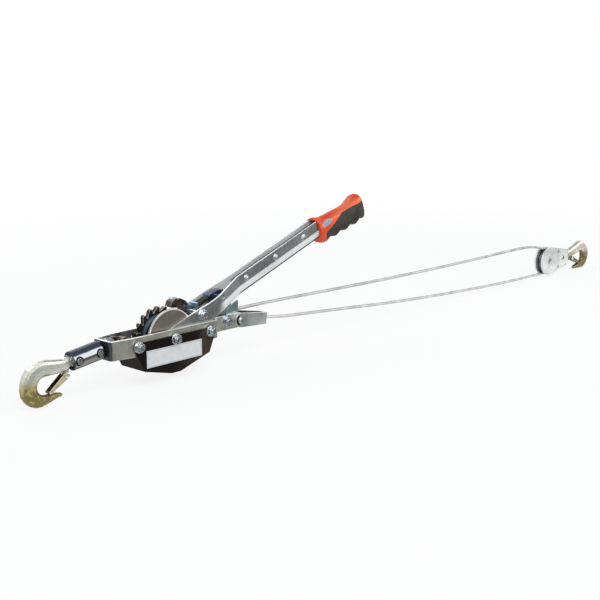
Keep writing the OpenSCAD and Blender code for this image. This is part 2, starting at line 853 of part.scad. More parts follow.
// Finger grooves under the grip, four across its length
function groove(t) = t < 0.1 || t > 0.96 ? 0 : 2 * (1 - cos(360 * (t - 0.1) * 4 / 0.86));
grip_top = [[0, 18.2], [0.06, 17.8], [0.12, 13.6], [0.2, 11.7], [0.35, 9.4], [0.5, 7.7],
    [0.64, 5.8], [0.7, 6.1], [0.8, 9.4], [0.86, 11.4], [0.91, 12.2], [0.955, 11.2], [0.98, 9],
    [1, 5.4]];
grip_low = [[0, -22], [0.05, -25.5], [0.12, -26.5], [0.5, -29], [0.8, -31.5], [0.94, -31],
    [0.975, -28], [1, -22]];
grip_side = [[0, 0.94], [0.05, 1], [0.1, 0.88], [0.5, 0.95], [0.85, 0.97], [0.94, 0.86],
    [0.975, 0.68], [1, 0.4]];
grip_split = [[0.08, -9], [0.18, -6.5], [0.3, -3.5], [0.42, 1.5], [0.5, 3.2], [0.8, 1.5], [1, -0.5]];
grip_fn = 20;
function power(x, e) = sign(x) * pow(abs(x), e);
function grip_ring(t, pad) =
    let (u = grip_u0 + grip_l * t, top = along(grip_top, t),
         low = along(grip_low, t) + groove(t), mid = (top + low) / 2, h = (top - low) / 2,
         w = grip_half * along(grip_side, t))
    [for (k = [0 : grip_fn - 1])
        let (a = -360 * (k + 0.5) / grip_fn)
        [u, w * power(cos(a), 0.75), mid + (h + pad) * power(sin(a), 0.75)]];
module grip_body() {
    loft([for (t = grip_stations) grip_ring(t, 0)]);
}

// The space for the channel inside the grip
channel_gap = 0.3;
module grip_cavity() {
    w = channel_w / 2 + channel_gap;
    low = channel_low - channel_gap;
    high = channel_high + channel_gap;
    intersection() {
        translate([grip_u0 - 1, 0, 0])
            rotate([90, 0, 90])
                linear_extrude(channel_l - grip_u0 + 1.5)
                    polygon([[-w, high], [-w, 0], [-w + 2, channel_low * 0.62],
                        [-w + 5, low], [w - 5, low], [w - 2, channel_low * 0.62], [w, 0],
                        [w, high]]);
        side_plate(-w, w)
            polygon([[grip_u0 - 1, low], [grip_u0 - 1, high], [drop_u0, high],
                [drop_u1, grip_high + channel_gap],
                [channel_l + 1, grip_high + channel_gap], [channel_l + 1, low]]);
    }
}

// The line where the shell meets the soft insert
split_points = [for (s = grip_split) [grip_u0 + grip_l * s[0], s[1]]];
module grip_region(upper, gap) {
    end = split_points[len(split_points) - 1];
    start = split_points[0];
    // The shell's collar reaches round the whole grip
    side_plate(-grip_w, grip_w)
        polygon(concat([[start[0], -grip_l]], split_points,
            upper ? [[grip_u1 + 5, end[1]], [grip_u1 + 5, grip_l], [grip_u0 - 5, grip_l],
                [grip_u0 - 5, -grip_l]]
            : [[grip_u1 + 5, end[1]], [grip_u1 + 5, -grip_l]]));
}

module grip_shell() {
    color([0.93, 0.27, 0.10])
        on_handle()
            difference() {
                intersection() {
                    grip_body();
                    grip_region(true, 0);
                }
                grip_cavity();
            }
}

module grip_insert() {
    color([0.09, 0.09, 0.10])
        on_handle()
            difference() {
                intersection() {
                    grip_body();
                    grip_region(false, 0);
                }
                grip_cavity();
            }
}

// ---------- drive pawl ----------

drive_nose = [[8.5, 66.5], [0.7, 66.3], [0.9, 61], [4.5, 52], [9, 41]];
drive_back = [[21.5, 36], [20.8, 44.1], [18.3, 53.4], [14.4, 61.8]];
pawl_hub_r = 8.5;
pawl_lane = 7.6;
pawl_body_y = 3.8;
pad_u = pawl_u + 9.5;
module drive_pawl() {
    turn = tooth_phase - 10.5 - handle_angle;
    top = pawl_points(drive_back, turn);
    low = pawl_points(drive_nose, turn);
    color([0.36, 0.33, 0.32])
        on_handle()
            difference() {
                union() {
                    side_plate(pawl_lane, drum_out)
                        polygon(concat(low, [[pawl_u - 8, pawl_w + 2], [pawl_u + 8.3, pawl_w + 1]],
                            top));
                    rod_y(pawl_hub_r, pawl_lane, drum_out, pawl_u, pawl_w);
                    // The near part stays above the rope
                    side_plate(pawl_body_y, pawl_lane)
                        polygon(concat(low, top));
                    // Pad that the spring pushes on
                    side_plate(-5, pawl_lane + 1)
                        polygon([[pad_u - 3, pawl_w + 2], [pad_u, pawl_w + 2],
                            [pad_u, pawl_w + 11], [pad_u - 3, pawl_w + 11]]);
                }
                rod_y(bolt_d / 2 + run_gap, -frame_w, frame_w, pawl_u, pawl_w);
            }
}

module drive_pawl_bolt() {
    color(blue_zinc)
        on_handle()
            hex_bolt(arm_out, -arm_out - nut_h - bolt_end, pawl_u, pawl_w);
}

module drive_pawl_nut() {
    color(blue_zinc)
        on_handle()
            flange_nut(-arm_out, pawl_u, pawl_w);
}

module spring_post() {
    color(zinc)
        on_handle()
            rod_y(post_r, -15.5, 15.5, post_u, post_w);
}

// Seat on the post, with the rod that guides the spring
seat_u = 86.5;
seat_half = 6.5;
spring_w = pawl_w + 6.5;
guide_rod_r = 2.4;
module spring_seat() {
    color([0.22, 0.27, 0.38])
        on_handle()
            difference() {
                union() {
                    side_plate(-seat_half, seat_half)
                        polygon([[seat_u, post_w - 4], [seat_u + 2, post_w - 6],
                            [seat_u + 22, post_w - 6], [seat_u + 27, post_w - 2],
                            [seat_u + 27, post_w + 4], [seat_u + 18, post_w + 8],
                            [seat_u + 2, post_w + 9.5], [seat_u, post_w + 8]]);
                    translate([pad_u + 5, 0, spring_w])
                        rotate([0, 90, 0])
                            cylinder(r = guide_rod_r, h = seat_u - pad_u - 4);
                }
                rod_y(post_r + run_gap, -frame_w, frame_w, post_u, post_w);
            }
}

// Spring that pushes the pawl from the seat
drive_spring_r = 4.3;
drive_wire = 1.6;
drive_pitch = 2.45;
drive_curls = 7;
echo(drive_gap = least_gap(helix(drive_spring_r, drive_pitch, drive_curls, 0), drive_wire, 5));
module drive_pawl_spring() {
    length = drive_pitch * drive_curls;
    color(zinc)
        on_handle()
            translate([(pad_u + seat_u - length) / 2, 0, spring_w])
                rotate([0, 0, -90])
                    coil_spring(drive_spring_r, drive_wire, drive_pitch, drive_curls,
                        [[drive_spring_r, 0, -drive_wire]],
                        [[drive_spring_r, length, drive_wire]]);
}

// ---------- front link ----------

pin_gap = 11;
eye_pin_x = nose_x + pin_gap;
tang_w = 10;
tang_h = 10;
tang_eye_r = 7.5;
swivel_nut_h = 10;
// Over the nut's corners
swivel_nut_d = 29;
swivel_washer_d = 25;
swivel_washer_t = 1.6;

// The eye bolt that turns in the nose
module swivel_eye() {
    shank = strap_t + swivel_washer_t + swivel_nut_h + 3;
    color(zinc)
        at_axle()
            difference() {
                union() {
                    translate([-nose_x - seat_gap, 0, 0])
                        rotate([0, 90, 0])
                            cylinder(d = swivel_d, h = shank);
                    translate([-eye_pin_x, -tang_w / 2, -tang_h / 2])
                        cube([pin_gap - seat_gap, tang_w, tang_h]);
                    rod_y(tang_eye_r, -tang_w / 2, tang_w / 2, -eye_pin_x);
                }
                rod_y(link_pin_d / 2 + run_gap, -tang_w, tang_w, -eye_pin_x);
            }
}

module swivel_washer() {
    color(blue_zinc)
        at_axle()
            translate([-nose_x + strap_t, 0, 0])
                rotate([0, 90, 0])
                    difference() {
                        cylinder(d = swivel_washer_d, h = swivel_washer_t);
                        translate([0, 0, -1])
                            cylinder(d = swivel_d + 2 * run_gap, h = swivel_washer_t + 2);
                    }
}

module swivel_nut() {
    color(blue_zinc)
        at_axle()
            translate([-nose_x + strap_t + swivel_washer_t, 0, 0])
                rotate([0, 90, 0])
                    difference() {
                        cylinder(d = swivel_nut_d, h = swivel_nut_h, $fn = 6);
                        translate([0, 0, -1])
                            cylinder(d = swivel_d + 2 * run_gap, h = swivel_nut_h + 2);
                    }
}

// Moves its children with the barrel, whose length runs along -X from the swivel pin
module on_barrel() {
    translate([-eye_pin_x, 0, axle_h])
        rotate([0, -barrel_droop, 0])
            children();
}

barrel_x1 = 8.5;
barrel_x0 = barrel_x1 - barrel_l;
module barrel_link() {
    r = barrel_d / 2;
    color([0.80, 0.81, 0.84])
        on_barrel()
            difference() {
                translate([barrel_x0, 0, 0])
                    rotate([0, 90, 0])
                        rotate_extrude()
                            polygon([[r - barrel_wall, 0], [r - 0.8, 0], [r, 0.8],
                                [r, barrel_l - 4], [r - 1.5, barrel_l],
                                [r - barrel_wall - 1.4, barrel_l],
                                [r - barrel_wall, barrel_l - 4]]);
                for (x = [0, -link_pitch])
                    rod_y(link_pin_d / 2, -barrel_d, barrel_d, x);
            }
}

module barrel_pins() {
    color([0.62, 0.60, 0.58])
        on_barrel()
            for (x = [0, -link_pitch])
                rod_y(link_pin_d / 2, -barrel_d / 2 - 0.6, barrel_d / 2 + 0.6, x);
}

// ---------- hooks ----------

hook_eye_w = 9;
hook_eye_r = 8.3;
hook_side = 6.5;
hook_sides = 14;
latch_pivot = [-14.5, -16];
latch_rivet_r = 2.2;
lug_half = 1.2;

// Stations of a hook's bar: [x, z, direction, half thickness, half width].
// The eye is at the origin and the hook runs along -X, with e more shank.
hook_centre = [-44.8, -24];
hook_bow_h = [[90, hook_bar], [135, hook_bar + 1.6], [200, hook_bar + 1], [240, 8.8],
    [270, 6.2]];
// Stations of the tip, past and under the bow: [along, under, direction, half thickness, half width]
hook_tip = [[5, 5.4, 8, 5.5, 5.5], [10, 4.5, 6, 4.7, 5], [16, 4, -1, 3.6, 4.3],
    [21.5, 4.2, -6, 2.7, 3.3], [24.5, 4.5, -8, 1.2, 1.6]];
function hook_stations(e) = concat(
    [[-5, -0.4, 184, 6.6, 4.4], [-11, -1.6, 188, 7, 5.2], [-18, -3.2, 186, 7.8, 5.8],
     [-26 - e / 2, -3.5, 178, hook_bar - 1.5, 6.2], [-34 - e, -2.8, 176, hook_bar - 0.8, hook_side]],
    [for (i = [0 : 12])
        let (a = 90 + 15 * i, h = along(hook_bow_h, a))
        [hook_centre[0] - e + (hook_r + h) * cos(a), hook_centre[1] + (hook_r + h) * sin(a),
         a + 90, h, along([[90, hook_side], [200, hook_side], [270, 5.6]], a)]],
    [for (t = hook_tip)
        [hook_centre[0] - e + t[0], hook_centre[1] - hook_r - t[1], t[2], t[3], t[4]]]);
// Angle at which the hook's lowest point is on the floor, for an eye at the height z over it
function hook_low(s, a) =
    min([for (p = s) min([for (h = [-p[3], p[3]])
        -(p[0] - h * sin(p[2])) * sin(a) + (p[1] + h * cos(p[2])) * cos(a)])]);
function hook_lift(e, z) =
    let (s = hook_stations(e))
    min([for (a = [0 : 0.1 : 30]) if (hook_low(s, a) >= 0.05 - z) a]);
function hook_ring(s) =
    [for (k = [0 : hook_sides - 1])
        let (a = 360 * (k + 0.5) / hook_sides, h = s[3] * power(cos(a), 0.85),
             y = s[4] * power(sin(a), 0.85))
        [s[0] - h * sin(s[2]), y, s[1] + h * cos(s[2])]];

module hook_body(e) {
    difference() {
        union() {
            loft([for (s = hook_stations(e)) hook_ring(s)]);
            rod_y(hook_eye_r, -hook_eye_w / 2, hook_eye_w / 2);
            // Lug for the latch rivet
            side_plate(-lug_half, lug_half)
                polygon([[latch_pivot[0] - 7 - e, -5], [latch_pivot[0] + 6 - e, -5],
                    [latch_pivot[0] + 4 - e, latch_pivot[1] - 3],
                    [latch_pivot[0] - 4 - e, latch_pivot[1] - 3]]);
            rod_y(4.4, -lug_half, lug_half, latch_pivot[0] - e, latch_pivot[1]);
        }
        rod_y(link_pin_d / 2 + run_gap, -hook_eye_w, hook_eye_w);
        rod_y(latch_rivet_r + run_gap, -hook_eye_w, hook_eye_w, latch_pivot[0] - e,
            latch_pivot[1]);
    }
}

// The latch: a folded sheet whose open side faces into the hook
latch_w = 10;
latch_t = 1.2;
latch_angle = 214;
latch_l = 32;
latch_outline = [[-3.2, 4], [3.2, 4], [latch_l - 2, 2.6], [latch_l, 1.4],
    [latch_l, -0.6], [latch_l - 4, -1.6], [3, -3.8], [-3.2, -3.8]];
module at_latch(e) {
    translate([latch_pivot[0] - e, 0, latch_pivot[1]])
        rotate([0, -latch_angle, 0])
            children();
}
module latch_body(e) {
    at_latch(e)
        difference() {
            side_plate(-latch_w / 2, latch_w / 2)
                polygon(latch_outline);
            side_plate(-latch_w / 2 + latch_t, latch_w / 2 - latch_t)
                polygon([[-6, 6 - latch_t], [-6, -8], [latch_l - 2, -8],
                    [latch_l - 2, 2.6 - latch_t], [5, 4 - latch_t], [4.6, 6 - latch_t]]);
            rod_y(latch_rivet_r + run_gap, -latch_w, latch_w);
        }
}
module latch_rivet(e) {
    y = latch_w / 2 + seat_gap;
    at_latch(e)
        union() {
            rod_y(latch_rivet_r, -y, y);
            for (s = [-1, 1])
                translate([0, s * y, 0])
                    rotate([s > 0 ? -90 : 90, 0, 0])
                        rotate_extrude()
                            polygon([[0, 0], [3.6, 0], [3.2, 1], [2, 1.6], [0, 1.6]]);
        }
}
latch_wire = 0.7;
latch_pitch = 1.15;
latch_spring_r = latch_rivet_r + 0.7;
module latch_spring(e) {
    at_latch(e)
        translate([0, lug_half + latch_wire / 2 + 0.1, 0])
            coil_spring(latch_spring_r, latch_wire, latch_pitch, 1.5,
                [[latch_spring_r, 0, -2]], [[-latch_spring_r, 1.5 * latch_pitch, 2]]);
}
echo(latch_gap = least_gap(helix(latch_spring_r, latch_pitch, 1.5, 0), latch_wire, 6));

// The front hook hangs from the far barrel pin down to the floor
front_pin_z = axle_h - link_pitch * sin(barrel_droop);
front_lift = hook_lift(0, front_pin_z + reach);
module at_front_hook() {
    translate([-eye_pin_x, 0, axle_h])
        translate([-link_pitch * cos(barrel_droop), 0, -link_pitch * sin(barrel_droop)])
            rotate([0, front_lift, 0])
                children();
}
module front_hook() {
    color(gold)
        at_front_hook()
            hook_body(0);
}
module front_latch() {
    color(gold)
        at_front_hook()
            latch_body(0);
}
module front_latch_rivet() {
    color(gold)
        at_front_hook()
            latch_rivet(0);
}
module front_latch_spring() {
    color(zinc)
        at_front_hook()
            latch_spring(0);
}

// ---------- running block ----------

cheek_in = sheave_w / 2 + 0.5;
hook_pin_x = 51.5;
spacer_x = 33;
spacer_z = 15.5;
spacer_r = 3.5;
cheek_end = 72;
cheek_end_half = 15;
module at_block() {
    translate([block_x, 0, block_z])
        children();
}
module cheek_outline() {
    r = cheek_d / 2;
    lean = asin((r - cheek_end_half) / norm([cheek_end, 0]));
    union() {
        circle(r = r);
        polygon([polar(r, -90 + lean), [cheek_end - 4, -cheek_end_half - 1.5],
            [cheek_end, -cheek_end_half + 3], [cheek_end, cheek_end_half - 3],
            [cheek_end - 4, cheek_end_half + 1.5], polar(r, 90 - lean)]);
    }
}
module cheek(y0, y1) {
    difference() {
        side_plate(y0, y1)
            cheek_outline();
        rod_y(sheave_pin_d / 2, y0 - 1, y1 + 1);
        rod_y(link_pin_d / 2, y0 - 1, y1 + 1, hook_pin_x);
        for (s = [-1, 1])
            rod_y(spacer_r, y0 - 1, y1 + 1, spacer_x, s * spacer_z);
    }
}
module near_cheek() {
    color([0.88, 0.89, 0.88])
        at_block()
            cheek(-cheek_in - cheek_t, -cheek_in);
}
module far_cheek() {
    color([0.88, 0.89, 0.88])
        at_block()
            cheek(cheek_in, cheek_in + cheek_t);
}
groove_r = rope_r + 0.3;
module sheave() {
    color([0.24, 0.27, 0.32])
        at_block()
            difference() {
                rotate([90, 0, 0])
                    rotate_extrude()
                        difference() {
                            translate([sheave_pin_d / 2 + run_gap, -sheave_w / 2])
                                square([sheave_d / 2 - sheave_pin_d / 2 - run_gap, sheave_w]);
                            translate([wrap_r, 0])
                                circle(r = groove_r);
                            translate([wrap_r, -groove_r])
                                square([sheave_d, 2 * groove_r]);
                        }
            }
}

// A riveted pin through both cheeks, with low heads
module riveted_pin(r, head_r, x = 0, z = 0) {
    y = cheek_in + cheek_t;
    union() {
        rod_y(r, -y, y, x, z);
        for (s = [-1, 1])
            translate([x, s * y, z])
                rotate([s > 0 ? -90 : 90, 0, 0])
                    rotate_extrude()
                        polygon([[0, 0], [head_r, 0], [head_r - 1, 1.2], [0, 1.6]]);
    }
}
module sheave_pin() {
    color([0.80, 0.81, 0.80])
        at_block()
            riveted_pin(sheave_pin_d / 2, sheave_pin_d / 2 + 1.5);
}
module hook_pin() {
    color([0.80, 0.81, 0.80])
        at_block()
            riveted_pin(link_pin_d / 2, link_pin_d / 2 + 1.5, hook_pin_x);
}
module block_spacers() {
    y = cheek_in;
    color([0.80, 0.81, 0.80])
        at_block()
            for (s = [-1, 1])
                union() {
                    riveted_pin(spacer_r, spacer_r, spacer_x, s * spacer_z);
                    rod_y(spacer_r + 1, -y, y, spacer_x, s * spacer_z);
                }
}

// The rear hook is the front hook's mirror image with a longer shank
rear_lift = hook_lift(rear_shank, block_z + reach);
echo(front_lift = front_lift, rear_lift = rear_lift);
module at_rear_hook() {
    translate([block_x + hook_pin_x, 0, block_z])
        rotate([0, -rear_lift, 0])
            rotate([0, 0, 180])
                children();
}
module rear_hook() {
    color(gold)
        at_rear_hook()
            hook_body(rear_shank);
}
module rear_latch() {
    color(gold)
        at_rear_hook()
            latch_body(rear_shank);
}
module rear_latch_rivet() {
    color(gold)
        at_rear_hook()
            latch_rivet(rear_shank);
}
module rear_latch_spring() {
    color(zinc)
        at_rear_hook()
            latch_spring(rear_shank);
}

frame_strap();
guard_pan();
label_plate();
guard_bolts();
flange_nuts();
spacer_sleeves();
drum_axle();
rear_bolt();
rear_nut();
rope_guide();
anchor_pin();
anchor_bracket();
rope_ferrule();
rope_tail();
swivel_eye();
swivel_washer();
swivel_nut();
barrel_link();
barrel_pins();
front_hook();
front_latch();
front_latch_rivet();
front_latch_spring();
drum_flange();
drum_core();
ratchet_wheel();
rope_coil();
holding_pawl();
holding_pawl_spring();
handle_channel();
grip_shell();
grip_insert();
drive_pawl();
drive_pawl_bolt();
drive_pawl_nut();
drive_pawl_spring();
spring_post();
spring_seat();
near_cheek();
far_cheek();
sheave();
sheave_pin();
block_spacers();
hook_pin();
rear_hook();
rear_latch();
rear_latch_rivet();
rear_latch_spring();
upper_rope();
lower_rope();
sheave_rope();
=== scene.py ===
"""Finishes, wire rope, springs and small trim for the lever-operated cable puller."""

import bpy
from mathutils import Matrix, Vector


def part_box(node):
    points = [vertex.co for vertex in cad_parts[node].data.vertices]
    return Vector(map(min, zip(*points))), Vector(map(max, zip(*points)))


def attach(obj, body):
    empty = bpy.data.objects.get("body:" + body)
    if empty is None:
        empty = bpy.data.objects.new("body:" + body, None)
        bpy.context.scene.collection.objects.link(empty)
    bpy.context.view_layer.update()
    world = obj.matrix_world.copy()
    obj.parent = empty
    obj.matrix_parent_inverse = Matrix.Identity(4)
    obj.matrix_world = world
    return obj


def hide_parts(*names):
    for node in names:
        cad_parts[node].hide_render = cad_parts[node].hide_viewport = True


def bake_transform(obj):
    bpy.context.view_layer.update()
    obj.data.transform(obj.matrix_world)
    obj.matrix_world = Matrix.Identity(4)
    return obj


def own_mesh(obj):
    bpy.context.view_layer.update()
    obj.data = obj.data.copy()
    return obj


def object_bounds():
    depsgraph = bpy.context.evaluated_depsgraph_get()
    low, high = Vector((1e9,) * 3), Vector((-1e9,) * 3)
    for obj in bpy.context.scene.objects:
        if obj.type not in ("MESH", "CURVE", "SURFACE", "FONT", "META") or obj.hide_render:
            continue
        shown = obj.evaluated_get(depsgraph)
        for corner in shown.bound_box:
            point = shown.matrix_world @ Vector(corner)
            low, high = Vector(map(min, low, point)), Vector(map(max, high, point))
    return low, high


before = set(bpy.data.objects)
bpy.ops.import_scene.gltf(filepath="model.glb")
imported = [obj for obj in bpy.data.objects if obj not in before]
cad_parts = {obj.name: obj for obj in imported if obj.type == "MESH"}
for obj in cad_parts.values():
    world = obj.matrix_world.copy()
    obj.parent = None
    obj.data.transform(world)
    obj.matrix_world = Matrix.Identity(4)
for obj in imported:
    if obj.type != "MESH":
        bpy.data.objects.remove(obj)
CAD_BOX = [[float(v) for v in corner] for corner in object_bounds()]

import math

import bmesh
import bpy
from mathutils import Matrix, Vector
from mathutils.bvhtree import BVHTree

bl_info = {
    "name": "Cable Puller Dresser",
    "version": (1, 0, 0),
    "blender": (4, 5, 0),
    "location": "View3D > Sidebar > Cable Puller",
    "description": "Dresses the puller's CAD frame with finishes, wire rope, springs and trim",
    "category": "Object",
}

MM = 0.001
ROPE_SIDES = 18  # round the mesh of a rope
WIRE_SIDES = 10  # round the mesh of a spring's wire


# ---------- places shared by several pieces, in metres and radians ----------

AXLE = Vector((0.0, 0.0, 0.0455))
HANDLE_ANGLE = math.radians(20.5)
BLOCK = Vector((0.975, 0.0, 0.0225))
BARREL_EYE = Vector((-0.113, 0.0, 0.0455))
BARREL_DROOP = math.radians(8)
LINK_PITCH = 0.032
ANCHOR_PIN = Vector((0.128, 0.0, 0.04775))
ANCHOR_DROOP = math.radians(7.5)
HOLDING_PIVOT_X = -0.062
FRONT_BOWL = (-0.18949, 0.0, 0.01705)
REAR_BOWL = (1.1028, 0.0, 0.0147)
FRONT_LATCH = (-0.159189, 0.0, 0.025047)
FRONT_LATCH_ANGLE = math.radians(214)
REAR_LATCH = (1.071444, 0.0, 0.015999)
REAR_LATCH_ANGLE = math.radians(12.4 - 34)  # the hook's lift, less the latch's slope


def on_handle(u, y, w):
    """Point u along the handle, y across it and w over its centreline."""
    c, s = math.cos(HANDLE_ANGLE), math.sin(HANDLE_ANGLE)
    return Vector((AXLE.x + u * c - w * s, y, AXLE.z + u * s + w * c))


def middle_of(node):
    """Middle of a CAD node's box."""
    lo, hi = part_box(node)
    return (Vector(lo) + Vector(hi)) / 2


def barrel_pin(n):
    """Centre of the barrel link's pin n, 0 next to the frame and 1 next to the hook."""
    c, s = math.cos(BARREL_DROOP), math.sin(BARREL_DROOP)
    return BARREL_EYE - Vector((LINK_PITCH * c, 0, LINK_PITCH * s)) * n


# ---------- settings ----------

def length(name, text, value, low, high):
    """A length property, its values given in millimetres."""
    return bpy.props.FloatProperty(
        name=name, description=text, default=value * MM, min=low * MM, max=high * MM,
        unit="LENGTH", subtype="DISTANCE")


def colour(name, text, value):
    """A colour property, linear red, green and blue."""
    return bpy.props.FloatVectorProperty(
        name=name, description=text, default=value, size=3, min=0, max=1, subtype="COLOR")


class PullerSizes(bpy.types.PropertyGroup):
    """Sizes of the pieces that are dressed here."""

    rope_diameter: length("Rope diameter", "Diameter of the wire rope over its strands", 5, 3, 5)
    strands: bpy.props.IntProperty(
        name="Strands", description="Outer strands of the wire rope", default=6, min=5, max=8)
    lay_length: length("Lay length", "Length in which a strand goes once round the rope",
                       30, 15, 60)
    strand_depth: bpy.props.FloatProperty(
        name="Strand depth", description="Depth of the strands' grooves, as a share of radius",
        default=0.16, min=0, max=0.3, subtype="FACTOR")
    edge_wear: length("Edge radius", "Width over which edges look rounded and rubbed",
                      0.7, 0.1, 2)
    pip_radius: length("Pip radius", "Radius of the pips pressed in the handle's near side",
                       4.9, 4.2, 5.2)


class PullerColours(bpy.types.PropertyGroup):
    """Main colour of each finish."""

    strap_zinc: colour("Strap zinc", "Warm dull zinc of the frame strap", (0.56, 0.56, 0.50))
    bracket_zinc: colour("Bracket zinc", "Greenish zinc of the anchor bracket", (0.50, 0.54, 0.51))
    guide_zinc: colour("Guide zinc", "Blue-green zinc of the rope guide", (0.30, 0.39, 0.385))
    blue_zinc: colour("Blue zinc", "Bluish zinc of bolts and nuts", (0.66, 0.72, 0.77))
    handle_zinc: colour("Handle zinc", "Dull zinc of the handle's flat sides", (0.30, 0.31, 0.31))
    # The next colour is the handle's painted highlight, on its lower band and far side, and on its
    # pips
    bright_zinc: colour("Bright zinc", "Bright zinc in and under the handle", (0.86, 0.88, 0.86))
    block_zinc: colour("Block zinc", "Pale zinc of the block's cheeks", (0.90, 0.90, 0.88))
    drum_steel: colour("Drum steel", "Plain steel of the drum's flange", (0.27, 0.245, 0.215))
    dark_steel: colour("Dark steel", "Oiled steel of the ratchet and pawls", (0.045, 0.042, 0.042))
    blue_sheen: colour("Blued steel", "Blue sheen on the ratchet and pawl", (0.21, 0.29, 0.37))
    chrome: colour("Chrome", "Polished barrel link", (0.80, 0.84, 0.90))
    gold_zinc: colour("Gold zinc", "Yellow zinc of the hooks", (0.50, 0.44, 0.21))
    pale_gold: colour("Pale gold", "Worn zinc of the hooks' tops", (0.64, 0.65, 0.59))
    olive: colour("Olive", "Dark olive in the hooks' bowls", (0.20, 0.165, 0.05))
    rose: colour("Rose", "Rose tint of the rear hook", (0.88, 0.79, 0.70))
    rope: colour("Rope", "Galvanised wire rope", (0.66, 0.66, 0.64))
    guard: colour("Guard", "Black paint of the guard pan", (0.010, 0.008, 0.007))
    label: colour("Label", "Bare white face of the label plate", (0.74, 0.75, 0.745))
    grip: colour("Grip", "Orange-red moulding of the grip", (0.80, 0.075, 0.018))
    insert: colour("Insert", "Black rubber of the grip's insert", (0.028, 0.024, 0.020))


def sizes():
    return bpy.context.scene.puller_sizes


def colours():
    return bpy.context.scene.puller_colours


# ---------- shader maths ----------

def operation(name):
    """A method that puts a value through one of Blender's maths operations."""
    return lambda value, *others: value.math(name, *others)


class Value:
    """A shader socket that Python's operators work on."""

    def __init__(self, graph, socket):
        self.graph = graph
        self.socket = socket

    def math(self, operation, *others):
        node = self.graph.node("ShaderNodeMath", {"operation": operation},
                               **{f"in{i}": v for i, v in enumerate((self, *others))})
        return Value(self.graph, node.outputs[0])

    __add__ = __radd__ = operation("ADD")
    __mul__ = __rmul__ = operation("MULTIPLY")
    __sub__ = operation("SUBTRACT")
    __truediv__ = operation("DIVIDE")
    __abs__ = operation("ABSOLUTE")
    root = operation("SQRT")
    least = operation("MINIMUM")
    most = operation("MAXIMUM")

    def __rsub__(self, other):
        return (self * -1) + other

    def waves(self, rate, shift=0):
        """Smooth waves between 0 and 1, with rate radians to a metre."""
        return (self * rate + shift).math("SINE") * 0.5 + 0.5

    def ramp(self, low, high):
        """0 at low and below, 1 at high and above, smooth between; low may be above high."""
        node = self.graph.node(
            "ShaderNodeMapRange", {"interpolation_type": "SMOOTHSTEP"},
            **{"Value": self, "From Min": low, "From Max": high, "To Min": 0.0, "To Max": 1.0})
        return Value(self.graph, node.outputs[0])

    def band(self, start, full, fade, end):
        """1 between full and fade, 0 before start and after end."""
        return self.ramp(start, full) * self.ramp(end, fade)


def distance(a, b):
    """Distance from an axis, of two values across it."""
    return (a * a + b * b).root()


class Graph:
    """A node tree, each node of which is made with its settings and inputs in one call."""

    def __init__(self, tree):
        self.tree = tree
        self.tree.nodes.clear()

    def node(self, kind, settings=None, **inputs):
        """A node of a kind, with its settings, then its sockets' values or links."""
        node = self.tree.nodes.new(kind)
        for name, value in (settings or {}).items():
            setattr(node, name, value)
        for name, value in inputs.items():
            socket = node.inputs[int(name[2:])] if name.startswith("in") and name[2:].isdigit() \
                else self.socket(node, name)
            self.feed(socket, value)
        return node

    @staticmethod
    def socket(node, name):
        """The enabled input of that name, since a Mix node has one for each type."""
        return next(s for s in node.inputs if s.name == name and s.enabled)

    def feed(self, socket, value):
        """Links a value or a socket, or sets a number or a colour."""
        if isinstance(value, Value):
            value = value.socket
        if isinstance(value, bpy.types.NodeSocket):
            self.tree.links.new(value, socket)
        elif socket.type == "RGBA":
            socket.default_value = (*value[:3], 1)
        else:
            socket.default_value = value

    def seen(self):
        """1 where it is seen straight, in a reflection or through a surface, 0 where it lights."""
        rays = self.node("ShaderNodeLightPath")
        camera, glossy, through = (Value(self, rays.outputs[f"Is {kind} Ray"])
                                   for kind in ("Camera", "Glossy", "Transmission"))
        return camera.most(glossy).most(through)


